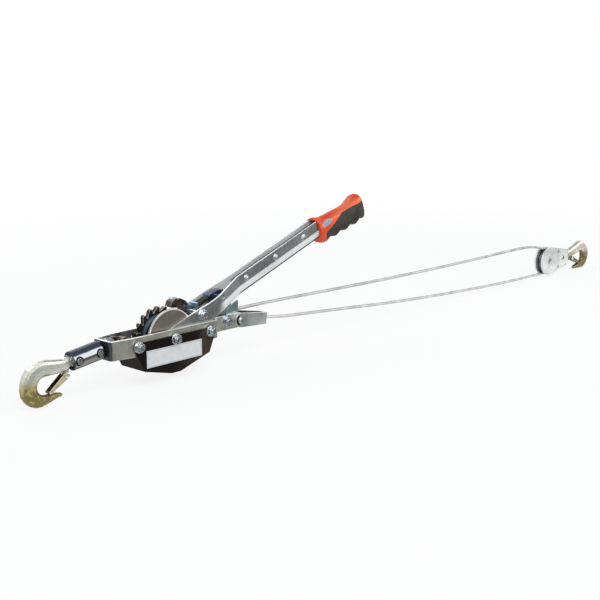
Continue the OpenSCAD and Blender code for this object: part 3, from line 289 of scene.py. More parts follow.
class Finish(Graph):
    """A procedural material on one Principled shader, in object coordinates."""

    def __init__(self, name, **constants):
        self.material = bpy.data.materials.new(name)
        self.material.use_nodes = True
        super().__init__(self.material.node_tree)
        self.shader = self.node("ShaderNodeBsdfPrincipled")
        self.output = self.node("ShaderNodeOutputMaterial", Surface=self.shader.outputs[0])
        for socket, value in constants.items():
            self.shader.inputs[socket.replace("_", " ")].default_value = value
        coordinates = self.node("ShaderNodeTexCoord")
        self.here = coordinates.outputs["Object"]
        self.facing = coordinates.outputs["Normal"]

    # Places

    def axes(self, origin=(0, 0, 0)):
        """Object coordinates from an origin, as three values."""
        moved = self.node("ShaderNodeVectorMath", {"operation": "SUBTRACT"},
                          in0=self.here, in1=tuple(origin))
        parts = self.node("ShaderNodeSeparateXYZ", in0=moved.outputs[0])
        return [Value(self, s) for s in parts.outputs]

    def tilted(self, origin, angle):
        """Distances from an origin: along an axis turned up by an angle, along Y, over the axis."""
        x, y, z = self.axes(origin)
        c, s = math.cos(angle), math.sin(angle)
        return x * c + z * s, y, z * c - x * s

    def radius(self, origin):
        """Distance from the axis along Y through an origin."""
        x, _, z = self.axes(origin)
        return distance(x, z)

    def level(self):
        """1 on faces that look up, 0 on the others."""
        parts = self.node("ShaderNodeSeparateXYZ", in0=self.facing)
        return Value(self, parts.outputs[2]).ramp(0.80, 0.97)

    def stretched(self, factors, turn):
        """Object coordinates turned about Y, then scaled along each axis."""
        turned = self.node("ShaderNodeVectorRotate", {"rotation_type": "Y_AXIS"},
                           Vector=self.here, Angle=turn)
        scaled = self.node("ShaderNodeVectorMath", {"operation": "MULTIPLY"},
                           in0=turned.outputs[0], in1=tuple(factors))
        return scaled.outputs[0]

    # Patterns

    def noise(self, scale, detail, where=None):
        node = self.node("ShaderNodeTexNoise", {"noise_dimensions": "3D"},
                         Vector=where or self.here, Scale=scale, Detail=detail, Roughness=0.55)
        return Value(self, node.outputs[0])

    def cells(self, scale):
        """Distance to the nearest of scattered points."""
        node = self.node("ShaderNodeTexVoronoi", {"feature": "F1"}, Vector=self.here, Scale=scale)
        return Value(self, node.outputs[0])

    def edge(self, radius):
        """1 along outside edges, 0 on flat faces."""
        rounded = self.node("ShaderNodeBevel", {"samples": 6}, Radius=radius)
        flat = self.node("ShaderNodeNewGeometry")
        turned = self.node("ShaderNodeVectorMath", {"operation": "DOT_PRODUCT"},
                           in0=rounded.outputs[0], in1=flat.outputs["Normal"])
        return (1 - Value(self, turned.outputs["Value"])).ramp(0.004, 0.12)

    def mix(self, first, second, share):
        """Colour between two colours."""
        node = self.node("ShaderNodeMix", {"data_type": "RGBA", "clamp_factor": True},
                         Factor=share, A=first, B=second)
        return next(s for s in node.outputs if s.enabled)

    def tones(self, tint, first, second, share):
        """Colour between a tint made darker or lighter by two factors."""
        return self.mix(shade(tint, first), shade(tint, second), share)

    # Results

    def base(self, value):
        self.feed(self.shader.inputs["Base Color"], value)

    def rough(self, value):
        self.feed(self.shader.inputs["Roughness"], value)

    def metal(self, value):
        self.feed(self.shader.inputs["Metallic"], value)

    def relief(self, height, depth, edge_radius=None):
        """Bump of a height of 0 to 1 over depth metres, on edges rounded by a radius."""
        inputs = {"Strength": 1.0, "Distance": depth, "Height": height}
        if edge_radius:
            inputs["Normal"] = self.node("ShaderNodeBevel", {"samples": 6},
                                         Radius=edge_radius).outputs[0]
        bump = self.node("ShaderNodeBump", **inputs)
        self.feed(self.shader.inputs["Normal"], bump.outputs[0])


def shade(tint, factor):
    """A colour made darker or lighter."""
    return tuple(min(1.0, c * factor) for c in tint)


# ---------- finishes ----------

def sheet_zinc(name, tint, grain=(6, 60, 60), turn=0.0, metallic=0.75, bright_edge_and_top=2.0,
               stain=None):
    """Zinc-plated rolled sheet: faint clouds, fine rolling grain, rubbed edges, and a painted
    highlight on faces that look up.

    Its last argument is a colour and a function that gives its share from the finish: a painted
    shade laid over the zinc."""
    f = Finish(name, IOR=1.5, Metallic=metallic)
    clouds = f.noise(38, 4)
    grain_lines = f.noise(28, 3, f.stretched(grain, turn))
    specks = f.noise(900, 2)
    tone = f.tones(tint, 0.74, 1.12, (clouds * 0.6 + grain_lines * 0.4).ramp(0.34, 0.64))
    tone = f.mix(tone, shade(tint, 0.55), specks.ramp(0.66, 0.8) * 0.35)
    # A painted shade laid over the zinc, where one is given
    if stain:
        painted_shade_colour, painted_shade_share = stain
        tone = f.mix(tone, painted_shade_colour, painted_shade_share(f))
    # Rubbed edges, and a painted highlight on faces that look up
    wear_and_painted_light = f.level().most(f.edge(sizes().edge_wear))
    f.base(f.mix(tone, shade(tint, bright_edge_and_top), wear_and_painted_light))
    f.rough(0.23 + 0.16 * grain_lines + 0.08 * clouds)
    f.relief(grain_lines * 0.7 + specks * 0.3, 0.00006, sizes().edge_wear)
    return f.material


def handle_plate(name):
    """The handle's zinc: a dull near side, with a painted highlight below its middle and on the far
    side.

    The fold and the edges are bright too; faces that look up carry a painted highlight, and the
    depth of the channel a painted shade."""
    f = Finish(name, IOR=1.5)
    c = colours()
    along, y, over = f.tilted(AXLE, HANDLE_ANGLE)
    clouds = f.noise(38, 4)
    grain = f.noise(28, 3, f.stretched((6, 60, 60), HANDLE_ANGLE))
    specks = f.noise(900, 2)
    dull = f.tones(c.handle_zinc, 0.72, 1.25, (clouds * 0.5 + grain * 0.5).ramp(0.34, 0.64))
    bright = f.tones(c.bright_zinc, 0.86, 1, clouds.ramp(0.35, 0.6))
    # Painted highlight: the lower slanted band and the far side are painted bright zinc, with less
    # metal there
    under = over.ramp(0.0008, -0.0008) * along.ramp(0.086, 0.104)
    far = y.ramp(0.0005, 0.0025)
    pale = under.most(far)
    plate = f.mix(dull, bright, pale)
    # Painted shade deep in the channel, over its inside faces
    inside = y.band(-0.0062, -0.0058, 0.0064, 0.0068)
    painted_channel_shade = inside * over.ramp(0.0092, 0.0076) * along.ramp(0.128, 0.15)
    plate = f.mix(plate, (0.02, 0.02, 0.022), painted_channel_shade)
    plate = f.mix(plate, (0.10, 0.10, 0.10), specks.ramp(0.68, 0.8) * 0.4)
    # Edges, and a painted highlight on faces that look up
    f.base(f.mix(plate, (0.92, 0.93, 0.92), f.edge(sizes().edge_wear).most(f.level())))
    f.rough(0.26 + 0.14 * grain + 0.10 * clouds)
    f.metal(0.75 - 0.7 * pale)
    f.relief(grain * 0.7 + specks * 0.3, 0.00006, sizes().edge_wear)
    return f.material


def bolt_zinc(name, tint, rough=0.18):
    """Bluish bright zinc on turned and pressed hardware."""
    f = Finish(name, Metallic=0.9)
    clouds = f.noise(260, 3)
    tone = f.tones(tint, 0.55, 1.15, clouds.ramp(0.36, 0.6))
    f.base(f.mix(tone, shade(tint, 1.5), f.edge(0.0006)))
    f.rough(rough + 0.14 * clouds)
    f.relief(f.noise(1500, 2), 0.00003, 0.0005)
    return f.material


def drum_face(name):
    """Faced steel disc with fine concentric tool marks, and a painted highlight round its near rim
    and along its edges.
    """
    f = Finish(name, Metallic=0.8)
    radius = f.radius(AXLE)
    rings = radius.waves(5200)
    clouds = f.noise(60, 4)
    face = f.tones(colours().drum_steel, 0.72, 1.15, (clouds * 0.75 + rings * 0.25).ramp(0.3, 0.7))
    near = f.axes()[1].ramp(-0.0150, -0.0156)
    # Painted highlight: a bright line round the near rim and along the edges
    rim = radius.ramp(0.0369, 0.0376) * near
    f.base(f.mix(face, (0.95, 0.93, 0.88), rim.most(f.edge(0.0008))))
    f.rough(0.36 + 0.16 * clouds)
    f.relief(rings * 0.5 + clouds * 0.5, 0.00005, 0.0006)
    return f.material


def ratchet_steel(name):
    """Dark oiled teeth with rubbed tips, round a bluish turned face with painted reflections in
    light and dark rings; the tips and edges carry a painted highlight too.
    """
    f = Finish(name, Metallic=0.85)
    c = colours()
    radius = f.radius(AXLE)
    rings = radius.waves(3600)
    bands = radius.waves(450, 2.66)
    clouds = f.noise(120, 4)
    # Painted reflections: dark and blue rings round the axle on the turned face
    painted_blue_reflection = f.mix((0.012, 0.018, 0.035), shade(c.blue_sheen, 1.2),
                  (bands * 0.65 + rings * 0.15 + clouds * 0.3).ramp(0.3, 0.85))
    teeth = f.tones(c.dark_steel, 0.6, 2.6, clouds.ramp(0.4, 0.7))
    body = f.mix(painted_blue_reflection, teeth, radius.ramp(0.030, 0.0335))
    # Pale edges: rubbed wear, with a painted highlight
    f.base(f.mix(body, (0.70, 0.64, 0.50), f.edge(0.0011)))
    f.rough(0.24 + 0.2 * clouds)
    f.relief(clouds * 0.6 + rings * 0.4, 0.00008, 0.0008)
    return f.material


def forged_dark(name, sheen_share, painted_sheen_from=None):
    """Dark forged or sintered steel with a blue sheen in patches and rubbed edges.

    Its last argument is a distance along the handle from which a bright blue sheen is painted."""
    f = Finish(name, Metallic=0.85)
    c = colours()
    clouds = f.noise(90, 4)
    grit = f.noise(1100, 3)
    body = f.mix(shade(c.dark_steel, 0.7), (0.16, 0.13, 0.11), clouds.ramp(0.35, 0.7))
    share = clouds.ramp(0.60 - sheen_share, 0.68 - sheen_share * 0.5) * 0.8
    # Painted highlight: a bright blue sheen from that distance along the handle on
    if painted_sheen_from:
        along = f.tilted(AXLE, HANDLE_ANGLE)[0]
        share = share.most((along + (clouds - 0.5) * 0.012).ramp(painted_sheen_from, painted_sheen_from + 0.006))
    sheen = f.mix(body, shade(c.blue_sheen, 1.5), share)
    f.base(f.mix(sheen, (0.60, 0.54, 0.44), f.edge(0.0009) * 0.8))
    f.rough(0.25 + 0.2 * grit)
    f.relief(grit * 0.5 + clouds * 0.5, 0.0001, 0.0008)
    return f.material


def gold_plate(name, low, high, bowl, upper_tint, lower_tint, bowl_tint):
    """Yellow zinc on a forging: pale over the top, mottled gold and olive below, dark in the bowl.

    low and high are the heights in metres between which it turns from olive to pale."""
    f = Finish(name, Metallic=0.65)
    clouds = f.noise(70, 4)
    mottle = f.noise(230, 4)
    grit = f.noise(700, 4)
    height = (f.axes()[2] + (clouds - 0.5) * 0.010).ramp(low, high)
    lower = f.mix(colours().olive, lower_tint, (height * 1.2 + (mottle - 0.5) * 1.6).ramp(0.0, 0.6))
    flecked = f.mix(lower, shade(lower_tint, 1.45), mottle.ramp(0.50, 0.78) * 0.45)
    plate = f.mix(flecked, upper_tint, height.ramp(0.4, 0.95))
    tinged = f.mix(plate, (0.52, 0.36, 0.31), clouds.ramp(0.58, 0.78) * 0.3)
    inner = (f.radius(bowl) + (clouds - 0.5) * 0.003).ramp(0.0176, 0.0122)
    shaded = f.mix(tinged, bowl_tint, inner * 0.85)
    f.base(f.mix(shaded, (0.90, 0.87, 0.74), f.edge(0.0009) * 0.5))
    f.rough(0.24 + 0.2 * grit)
    f.relief(grit * 0.35 + mottle * 0.65, 0.0004, 0.0009)
    return f.material


def latch_plate(name, pivot, angle, flip, tone):
    """Yellow zinc on thin folded sheet, dark brown inside the fold.

    flip is 1 or -1, the side that the fold opens to, and tone darkens the outside."""
    f = Finish(name, Metallic=0.7)
    clouds = f.noise(160, 3)
    body = f.mix(shade((0.36, 0.31, 0.19), tone), shade((0.66, 0.60, 0.42), tone),
                 clouds.ramp(0.25, 0.62))
    along, y, over = f.tilted(pivot, angle)
    # Darker brown inside the fold
    inside = abs(y).ramp(0.0041, 0.0038) * (over * flip + along * 0.054).ramp(0.0038, 0.0034)
    darker_in_fold = f.mix(body, (0.060, 0.030, 0.012), inside)
    f.base(f.mix(darker_in_fold, (0.88, 0.84, 0.68), f.edge(0.0005) * (1 - 0.8 * inside)))
    f.rough(0.26 + 0.2 * clouds)
    f.relief(f.noise(900, 3), 0.00005, 0.0004)
    return f.material


def polished_chrome(name):
    """Chromed tube, bright on its side, with painted reflections: dark blue on top, a dust-brown
    band below and a dark bottom; painted shade darkens it at its pins and ends.
    """
    f = Finish(name, Metallic=1.0)
    lo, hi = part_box("barrel_link")
    radius = (hi[1] - lo[1]) / 2
    half_length = (hi[0] - lo[0]) / 2 / math.cos(BARREL_DROOP) - 0.0015
    haze = f.noise(80, 5)
    scratches = f.noise(40, 2, f.stretched((4, 90, 90), -BARREL_DROOP))
    # Painted shade round the pin heads and at the tube's ends
    sinks = [f.radius(barrel_pin(n)).ramp(0.0066, 0.0058) for n in (0, 1)]
    along, _, over = f.tilted(BARREL_EYE, BARREL_DROOP)
    ends = (abs(along + LINK_PITCH / 2) - half_length).ramp(-0.0020, -0.0006)
    # Painted reflections by height round the tube: dark blue on top, a dust-brown band and a dark
    # bottom below
    level = over / radius + (haze - 0.5) * 0.16
    painted_blue_reflection = level.ramp(0.50, 0.66)
    dust_and_painted_reflection = level.ramp(0.20, 0.02)
    under = level.ramp(-0.56, -0.72)
    clean = f.tones(colours().chrome, 1, 0.82, haze.ramp(0.4, 0.75))
    wear_and_painted_light = f.mix(clean, (0.20, 0.19, 0.165), dust_and_painted_reflection * 0.9)
    dark = sinks[0].most(sinks[1]).most(ends).most(painted_blue_reflection * 0.96).most(under * 0.9)
    f.base(f.mix(wear_and_painted_light, (0.016, 0.024, 0.042), dark))
    f.rough(0.08 + 0.10 * haze.ramp(0.45, 0.8) + 0.2 * dark + 0.25 * dust_and_painted_reflection)
    f.relief(scratches, 0.00001, 0.0006)
    return f.material


def guard_paint(name):
    """Black paint over folded sheet, with orange peel, rubbed edges, and brown dust towards the
    rear that is also a painted sheen.
    """
    f = Finish(name, IOR=1.14, Specular_IOR_Level=0.4)
    x = f.axes(AXLE)[0]
    peel = f.noise(420, 2)
    dust = f.noise(34, 5)
    # Brown dust and a painted sheen, growing towards the rear
    dust_and_painted_reflection = (dust + x * 4.5).ramp(0.50, 0.95) * x.ramp(-0.05, 0.02)
    film = f.mix(colours().guard, (0.075, 0.060, 0.044), dust_and_painted_reflection * 0.8)
    f.base(f.mix(film, (0.12, 0.105, 0.09), f.edge(0.0006) * 0.6))
    f.rough(0.32 + 0.25 * dust)
    f.relief(peel, 0.00006, 0.0006)
    return f.material


def bare_label(name):
    """White film, bare inside a thin grey border line."""
    f = Finish(name, Coat_Weight=0.15)
    middle = middle_of("label_plate")
    half = Vector(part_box("label_plate")[1]) - middle
    x, _, z = f.axes(middle)
    inset = (half.x - abs(x)).least(half.z - abs(z))
    line = inset.band(0.0009, 0.0012, 0.0015, 0.0018)
    mottled = f.noise(260, 3)
    tone = f.tones(colours().label, 0.94, 1, mottled.ramp(0.35, 0.65))
    f.base(f.mix(tone, (0.30, 0.31, 0.33), line * 0.8))
    f.rough(0.38 + 0.1 * mottled)
    f.relief(mottled, 0.00002, 0.0003)
    return f.material


def rope_zinc(name):
    """Galvanised wire: grey, with darker greasy patches between the wires."""
    f = Finish(name, Metallic=0.55)
    wires = f.noise(2600, 2)
    clouds = f.noise(45, 4)
    f.base(f.tones(colours().rope, 0.62, 1.18, (wires * 0.5 + clouds * 0.5).ramp(0.34, 0.6)))
    f.rough(0.38 + 0.22 * wires)
    f.relief(wires, 0.00012)
    return f.material


def spring_wire(name, tint):
    """Drawn spring wire, oiled."""
    f = Finish(name, Metallic=0.85)
    drawn = f.noise(600, 3)
    f.base(f.tones(tint, 0.5, 1.4, drawn.ramp(0.3, 0.7)))
    f.rough(0.25 + 0.2 * drawn)
    f.relief(drawn, 0.00003)
    return f.material


def grip_moulding(name):
    """Orange-red plastic with moulding flow, a lighter band along it that is a painted highlight,
    and darker scuffs.
    """
    f = Finish(name, Specular_IOR_Level=0.35)
    tint = colours().grip
    along, _, over = f.tilted(AXLE, HANDLE_ANGLE)
    flow = f.noise(30, 3, f.stretched((1, 3, 3), HANDLE_ANGLE))
    grain = f.noise(1400, 2)
    scuffs = f.noise(300, 4)
    tone = f.mix(shade(tint, 0.85), (0.86, 0.115, 0.032), flow.ramp(0.3, 0.7))
    # Painted highlight: a lighter orange band along the grip
    off_band = abs(over - 0.0045 + (flow - 0.5) * 0.006)
    rubbed = off_band.ramp(0.0045, 0) * along.ramp(0.335, 0.36)
    tone = f.mix(tone, (0.88, 0.25, 0.11), rubbed * 0.55)
    tone = f.mix(tone, (0.55, 0.04, 0.012), scuffs.ramp(0.6, 0.72) * 0.3)
    f.base(f.mix(tone, (0.92, 0.30, 0.16), f.edge(0.0012) * 0.5))
    f.rough(0.30 + 0.12 * grain)
    f.relief(grain, 0.00008, 0.0012)
    return f.material


def grip_rubber(name):
    """Black rubber with a fine moulded grain."""
    f = Finish(name)
    pebble = f.cells(1100)
    clouds = f.noise(50, 3)
    tone = f.tones(colours().insert, 0.7, 1.7, clouds.ramp(0.3, 0.7))
    f.base(f.mix(tone, (0.12, 0.10, 0.09), f.edge(0.0012) * 0.7))
    f.rough(0.52 + 0.2 * clouds)
    f.relief(pebble, 0.00018, 0.0012)
    return f.material


def sheave_dark(name):
    """Dark blue-grey sheave with turned rings and rubbed edges."""
    f = Finish(name, Metallic=0.6)
    rings = f.radius(BLOCK).waves(4000)
    clouds = f.noise(110, 4)
    body = f.mix((0.09, 0.115, 0.12), (0.19, 0.22, 0.225), clouds.ramp(0.35, 0.7))
    f.base(f.mix(body, (0.45, 0.46, 0.47), f.edge(0.0006) * 0.7))
    f.rough(0.3 + 0.2 * clouds)
    f.relief(rings * 0.4 + clouds * 0.6, 0.00006, 0.0006)
    return f.material


def enamel_oval(name, middle):
    """Enamel of the grip's bare oval badge: pinkish rim round a blue-grey field."""
    f = Finish(name, Coat_Weight=0.5, Coat_Roughness=0.08)
    along, _, over = f.tilted(middle, HANDLE_ANGLE)
    reach = distance(along / PULLER_OT_trim.oval[0], over / PULLER_OT_trim.oval[1])
    clouds = f.noise(420, 3)
    field = f.mix((0.06, 0.13, 0.22), (0.26, 0.40, 0.50), clouds.ramp(0.35, 0.65))
    f.base(f.mix(field, (0.55, 0.36, 0.36), reach.ramp(0.62, 0.78)))
    f.rough(0.25 + 0.1 * clouds)
    f.relief(clouds, 0.00002)
    return f.material


# ---------- mesh helpers ----------

def smooth_route(points, steps):
    """A smooth curve through given points, with steps between each pair."""
    p = [Vector(q) for q in points]
    last = len(p) - 1

    def slope(i):
        if i == 0:
            return (p[1] - p[0]).normalized()
        if i == last:
            return (p[i] - p[i - 1]).normalized()
        return (p[i + 1] - p[i - 1]).normalized()

    out = []
    for i in range(last):
        reach = (p[i + 1] - p[i]).length
        a, b = slope(i) * reach, slope(i + 1) * reach
        for k in range(steps):
            t = k / steps
            out.append(p[i] * (2 * t**3 - 3 * t**2 + 1) + a * (t**3 - 2 * t**2 + t)
                       + p[i + 1] * (3 * t**2 - 2 * t**3) + b * (t**3 - t**2))
    return out + [p[last]]


def resampled(points, step):
    """Points at an even spacing along a route."""
    out, left = [points[0].copy()], 0.0
    for a, b in zip(points, points[1:]):
        span = (b - a).length
        along = step - left
        while along <= span:
            out.append(a.lerp(b, along / span))
            along += step
        left = (left + span) % step if span + left >= step else left + span
    if (out[-1] - points[-1]).length > step * 0.3:
        out.append(points[-1].copy())
    else:
        out[-1] = points[-1].copy()
    return out


def put(name, data):
    """A new object of a mesh, camera or light in the scene."""
    thing = bpy.data.objects.new(name, data)
    bpy.context.scene.collection.objects.link(thing)
    return thing


def new_piece(name, mesh, material, body=None):
    """Puts a smooth mesh in the scene with a material; it rides on a body, if one is given."""
    piece = put(name, mesh)
    mesh.materials.append(material)
    for polygon in mesh.polygons:
        polygon.use_smooth = True
    if body:
        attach(piece, body)
    return piece


def card_mesh(name, low, high, z):
    """A level rectangle between two corners."""
    mesh = bpy.data.meshes.new(name)
    mesh.from_pydata([(low[0], low[1], z), (high[0], low[1], z), (high[0], high[1], z),
                      (low[0], high[1], z)], [], [(0, 1, 2, 3)])
    return mesh


def bridge(bm, loops):
    """Quads between each loop of vertices and the next."""
    for a, b in zip(loops, loops[1:]):
        for k in range(len(a)):
            m = (k + 1) % len(a)
            bm.faces.new((a[k], a[m], b[m], b[k]))


def write_mesh(name, bm):
    """A new mesh from a bmesh, which is freed, with its normals turned outward."""
    bmesh.ops.recalc_face_normals(bm, faces=bm.faces)
    mesh = bpy.data.meshes.new(name)
    bm.to_mesh(mesh)
    bm.free()
    return mesh


def tube_mesh(name, points, radius_at, sides):
    """A closed tube along points; radius_at(length so far, angle) gives its radius."""
    bm = bmesh.new()
    rings, done = [], 0.0
    side = Vector((0, 1, 0))
    for i, p in enumerate(points):
        ahead = points[min(i + 1, len(points) - 1)] - points[max(i - 1, 0)]
        t = ahead.normalized()
        side = (side - t * side.dot(t)).normalized()
        up = t.cross(side)
        if i:
            done += (p - points[i - 1]).length
        ring = []
        for k in range(sides):
            angle = 2 * math.pi * k / sides
            r = radius_at(done, angle)
            ring.append(bm.verts.new(p + side * (r * math.cos(angle)) + up * (r * math.sin(angle))))
        rings.append(ring)
    bridge(bm, rings)
    bm.faces.new(list(reversed(rings[0])))
    bm.faces.new(rings[-1])
    return write_mesh(name, bm)


def stranded_mesh(name, points):
    """A wire rope's mesh: strands that wind round its centreline."""
    s = sizes()

    def radius_at(done, angle):
        wave = abs(math.cos(s.strands / 2 * (angle - 2 * math.pi * done / s.lay_length)))
        return s.rope_diameter / 2 * (1 - s.strand_depth * (1 - wave ** 0.6))

    return tube_mesh(name, points, radius_at, ROPE_SIDES)


def helix(radius, pitch, curls, rings=28):
    """Points of a helix about Y, from its own origin, with rings of them to a turn."""
    out = []
    for i in range(int(rings * curls) + 1):
        a = 2 * math.pi * i / rings
        out.append(Vector((radius * math.cos(a), pitch * i / rings, radius * math.sin(a))))
    return out


def place_points(points, origin, turn_y=0.0, turn_z=0.0):
    """Points turned about Z, then about Y, then moved to an origin."""
    turn = Matrix.Rotation(turn_y, 3, "Y") @ Matrix.Rotation(turn_z, 3, "Z")
    return [origin + turn @ p for p in points]


def paint(material, *nodes):
    """Gives CAD nodes a material in place of their own."""
    for name in nodes:
        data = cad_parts[name].data
        data.materials.clear()
        data.materials.append(material)


# ---------- operators ----------

class PULLER_OT_stage(bpy.types.Operator):
    """Makes the camera, the world, the floor, the cards and the lamps"""

    bl_idname = "puller.stage"
    bl_label = "Stage"

    lens = 66.0
    azimuth = math.radians(46.9)
    elevation = math.radians(12.0)
    axle_depth = 1.4691
    axle_offset = (-0.1818, -0.0479)  # of the axle from the view's middle, in metres at its depth
    lamps = (  # name, place, target, size in metres, power in watts
        ("key", (-0.6, -1.3, 1.9), (0.25, 0, 0.05), 1.5, 22),
        ("fill", (1.6, -1.2, 1.1), (0.4, 0, 0.05), 1.2, 10),
        ("back", (0.6, 1.8, 1.6), (0.3, 0, 0.05), 1.6, 14))

    def execute(self, context):
        lowest = CAD_BOX[0][2]
        self.camera(context)
        self.world(context)
        self.floor(lowest - 0.0003)
        # Dark cards over and in front of the object, which only its polished metal shows
        self.flag("overhead_flag", (0.020, 0.030, 0.055), (0.5, -0.75), (2.2, 1.4), 1.0)
        self.flag("table_flag", (0.10, 0.095, 0.085), (-0.8, -2.4), (2.6, -0.09), lowest + 0.001)
        for lamp in self.lamps:
            self.lamp(*lamp)
        context.scene.view_settings.view_transform = "Standard"
        return {"FINISHED"}

    def camera(self, context):
        sa, ca = math.sin(self.azimuth), math.cos(self.azimuth)
        se, ce = math.sin(self.elevation), math.cos(self.elevation)
        forward = Vector((sa * ce, ca * ce, -se))
        right = Vector((ca, -sa, 0))
        up = right.cross(forward)
        x, y = self.axle_offset
        data = bpy.data.cameras.new("view_camera")
        data.lens = self.lens
        data.sensor_width = 36
        data.clip_start = 0.05
        camera = put("view_camera", data)
        turn = Matrix((right, up, -forward)).transposed().to_4x4()
        place = AXLE - forward * self.axle_depth - right * x - up * y
        camera.matrix_world = Matrix.Translation(place) @ turn
        context.scene.camera = camera

    def world(self, context):
        """White where it is seen, soft bluish grey where it only lights."""
        world = bpy.data.worlds.new("studio_world")
        context.scene.world = world
        world.use_nodes = True
        g = Graph(world.node_tree)
        soft = g.node("ShaderNodeBackground", Color=(0.80, 0.84, 0.90), Strength=0.58)
        white = g.node("ShaderNodeBackground", Color=(1, 1, 1), Strength=1.0)
        mixed = g.node("ShaderNodeMixShader", in0=g.seen(), in1=soft.outputs[0],
                       in2=white.outputs[0])
        g.node("ShaderNodeOutputWorld", Surface=mixed.outputs[0])

    def floor(self, height):
        """A white floor that glows where it is seen, a little less near the object."""
        half, middle = 8.0, 0.4
        mesh = card_mesh("floor", (-half, -half), (half, half), 0)
        floor = put("floor", mesh)
        floor.location = (middle, 0, height)
        f = Finish("floor_white", Roughness=0.8, Specular_IOR_Level=0.1)
        f.base((0.86, 0.86, 0.86))
        glow = f.node("ShaderNodeEmission", Color=(1, 1, 1), Strength=1.0)
        x, y, _ = f.axes()
        far = distance(x, y).ramp(0.7, 1.8)
        mixed = f.node("ShaderNodeMixShader", in0=f.seen() * (0.85 + 0.15 * far),
                       in1=f.shader.outputs[0], in2=glow.outputs[0])
        f.feed(f.output.inputs["Surface"], mixed.outputs[0])
        mesh.materials.append(f.material)

    def flag(self, name, tint, low, high, height):
        mesh = card_mesh(name, low, high, height)
        flag = put(name, mesh)
        f = Finish(name)
        glow = f.node("ShaderNodeEmission", Color=tint, Strength=1.0)
        f.feed(f.output.inputs["Surface"], glow.outputs[0])
        mesh.materials.append(f.material)
        for ray in ("camera", "diffuse", "transmission", "volume_scatter", "shadow"):
            setattr(flag, "visible_" + ray, False)

    def lamp(self, name, place, target, size, power):
        data = bpy.data.lights.new(name, "AREA")
        data.shape = "SQUARE"
        data.size = size
        data.energy = power
        lamp = put(name, data)
        lamp.location = place
        lamp.rotation_mode = "QUATERNION"
        lamp.rotation_quaternion = (Vector(target) - Vector(place)).to_track_quat("-Z", "Y")


class PULLER_OT_rope(bpy.types.Operator):
    """Lays the wire rope from the drum round the sheave and back to the anchor bracket"""

    bl_idname = "puller.rope"
    bl_label = "Wire rope"

    # Centrelines in metres: from the drum to the sheave's top, and from the tail to its underside
    upper = [[0.005, 0.0043, 0.0644], [0.052, 0.0035, 0.0607], [0.095, 0.003, 0.0598],
             [0.14, 0.003, 0.0601], [0.18, 0.0028, 0.0603], [0.25, 0.0025, 0.0595],
             [0.33, 0.0022, 0.058], [0.42, 0.0019, 0.0566], [0.52, 0.0016, 0.0558],
             [0.62, 0.0013, 0.0556], [0.71, 0.001, 0.056], [0.79, 0.0006, 0.057],
             [0.86, 0.0004, 0.058], [0.91, 0.0002, 0.057], [0.942, 0, 0.053],
             [0.962, 0, 0.0484], [0.975, 0, 0.0465]]
    lower = [[0.234, 0, 0.034], [0.3, 0, 0.029], [0.38, 0, 0.023], [0.47, 0, 0.016],
             [0.57, 0, 0.01], [0.67, 0, 0.005], [0.77, 0, 0.0012], [0.85, 0, -0.0006],
             [0.92, 0, -0.0013], [0.95, 0, -0.0015], [0.975, 0, -0.0015]]
    wrap_radius = 0.024
    travel = 0.70  # of the block, towards the drum
    coil_radius = 0.0189
    coil_pitch = 0.0057
    coil_loops = 2.5
    coil_rings = 64  # in a turn
    curve_steps = 8
    ring_step = 0.0025  # between rings of the rope's mesh

    def execute(self, context):
        finish = rope_zinc("rope_zinc")
        self.upper_fall(finish, self.coil(finish))
        self.lower_fall(finish)
        self.tail(finish)
        return {"FINISHED"}

    def coil(self, finish):
        """The turns on the drum, up to where the upper fall leaves it."""
        r, leave = self.coil_radius, Vector(self.upper[0])
        first_y = leave.y - self.coil_pitch * self.coil_loops
        points = [Vector((leave.x, first_y, AXLE.z - r))]
        steps = int(self.coil_rings * self.coil_loops)
        for i in range(steps + 1):
            loops = self.coil_loops * (1 - i / steps)
            a = 2 * math.pi * loops
            points.append(Vector((-r * math.sin(a), leave.y - self.coil_pitch * loops,
                                  AXLE.z + r * math.cos(a))))
        points.append(leave)
        piece = new_piece("drum_rope", stranded_mesh("drum_rope", points), finish, "drum")
        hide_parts("rope_coil")
        return piece

    def upper_fall(self, finish, coil):
        """From the drum and round the sheave."""
        around, steps = [], 24
        for i in range(1, steps + 1):
            a = math.pi / 2 - math.pi * i / steps
            around.append(BLOCK + Vector((math.cos(a), 0, math.sin(a))) * self.wrap_radius)
        points = resampled(smooth_route(self.upper, self.curve_steps) + around, self.ring_step)
        self.fall("rope_upper", points, finish, points[0], ("upper_rope", "sheave_rope"), [coil])

    def lower_fall(self, finish):
        """From the block's underside back to the tail's end."""
        points = resampled(smooth_route(self.lower, self.curve_steps)[::-1], self.ring_step)
        self.fall("rope_lower", points, finish, points[-1], ("lower_rope",), [])

    def fall(self, name, points, finish, fixed, nodes, with_pieces):
        """One fall, which rides on the frame."""
        piece = new_piece(name, stranded_mesh(name, points), finish, "frame")
        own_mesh(piece)
        self.declare(piece, points, nodes, with_pieces=with_pieces)

    def tail(self, finish):
        """From inside the ferrule, out of the bracket's mouth and to the lower fall's end."""
        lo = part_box("rope_tail")[0]
        along = Vector((math.cos(ANCHOR_DROOP), 0, -math.sin(ANCHOR_DROOP)))
        start = (lo[0] - ANCHOR_PIN.x + 0.0003) / math.cos(ANCHOR_DROOP)
        mouth, bend = 0.062, (0.215, 0, 0.0363)
        route = [ANCHOR_PIN + along * start, ANCHOR_PIN + along * mouth, bend, self.lower[0]]
        points = resampled(smooth_route(route, self.curve_steps), 0.002)
        piece = new_piece("rope_end", stranded_mesh("rope_end", points), finish)
        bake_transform(piece)
        self.declare(piece, points, ("rope_tail",))

    def declare(self, piece, points, nodes, **more):
        """Hides the CAD nodes that a stretch of rope stands for."""
        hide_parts(*nodes)


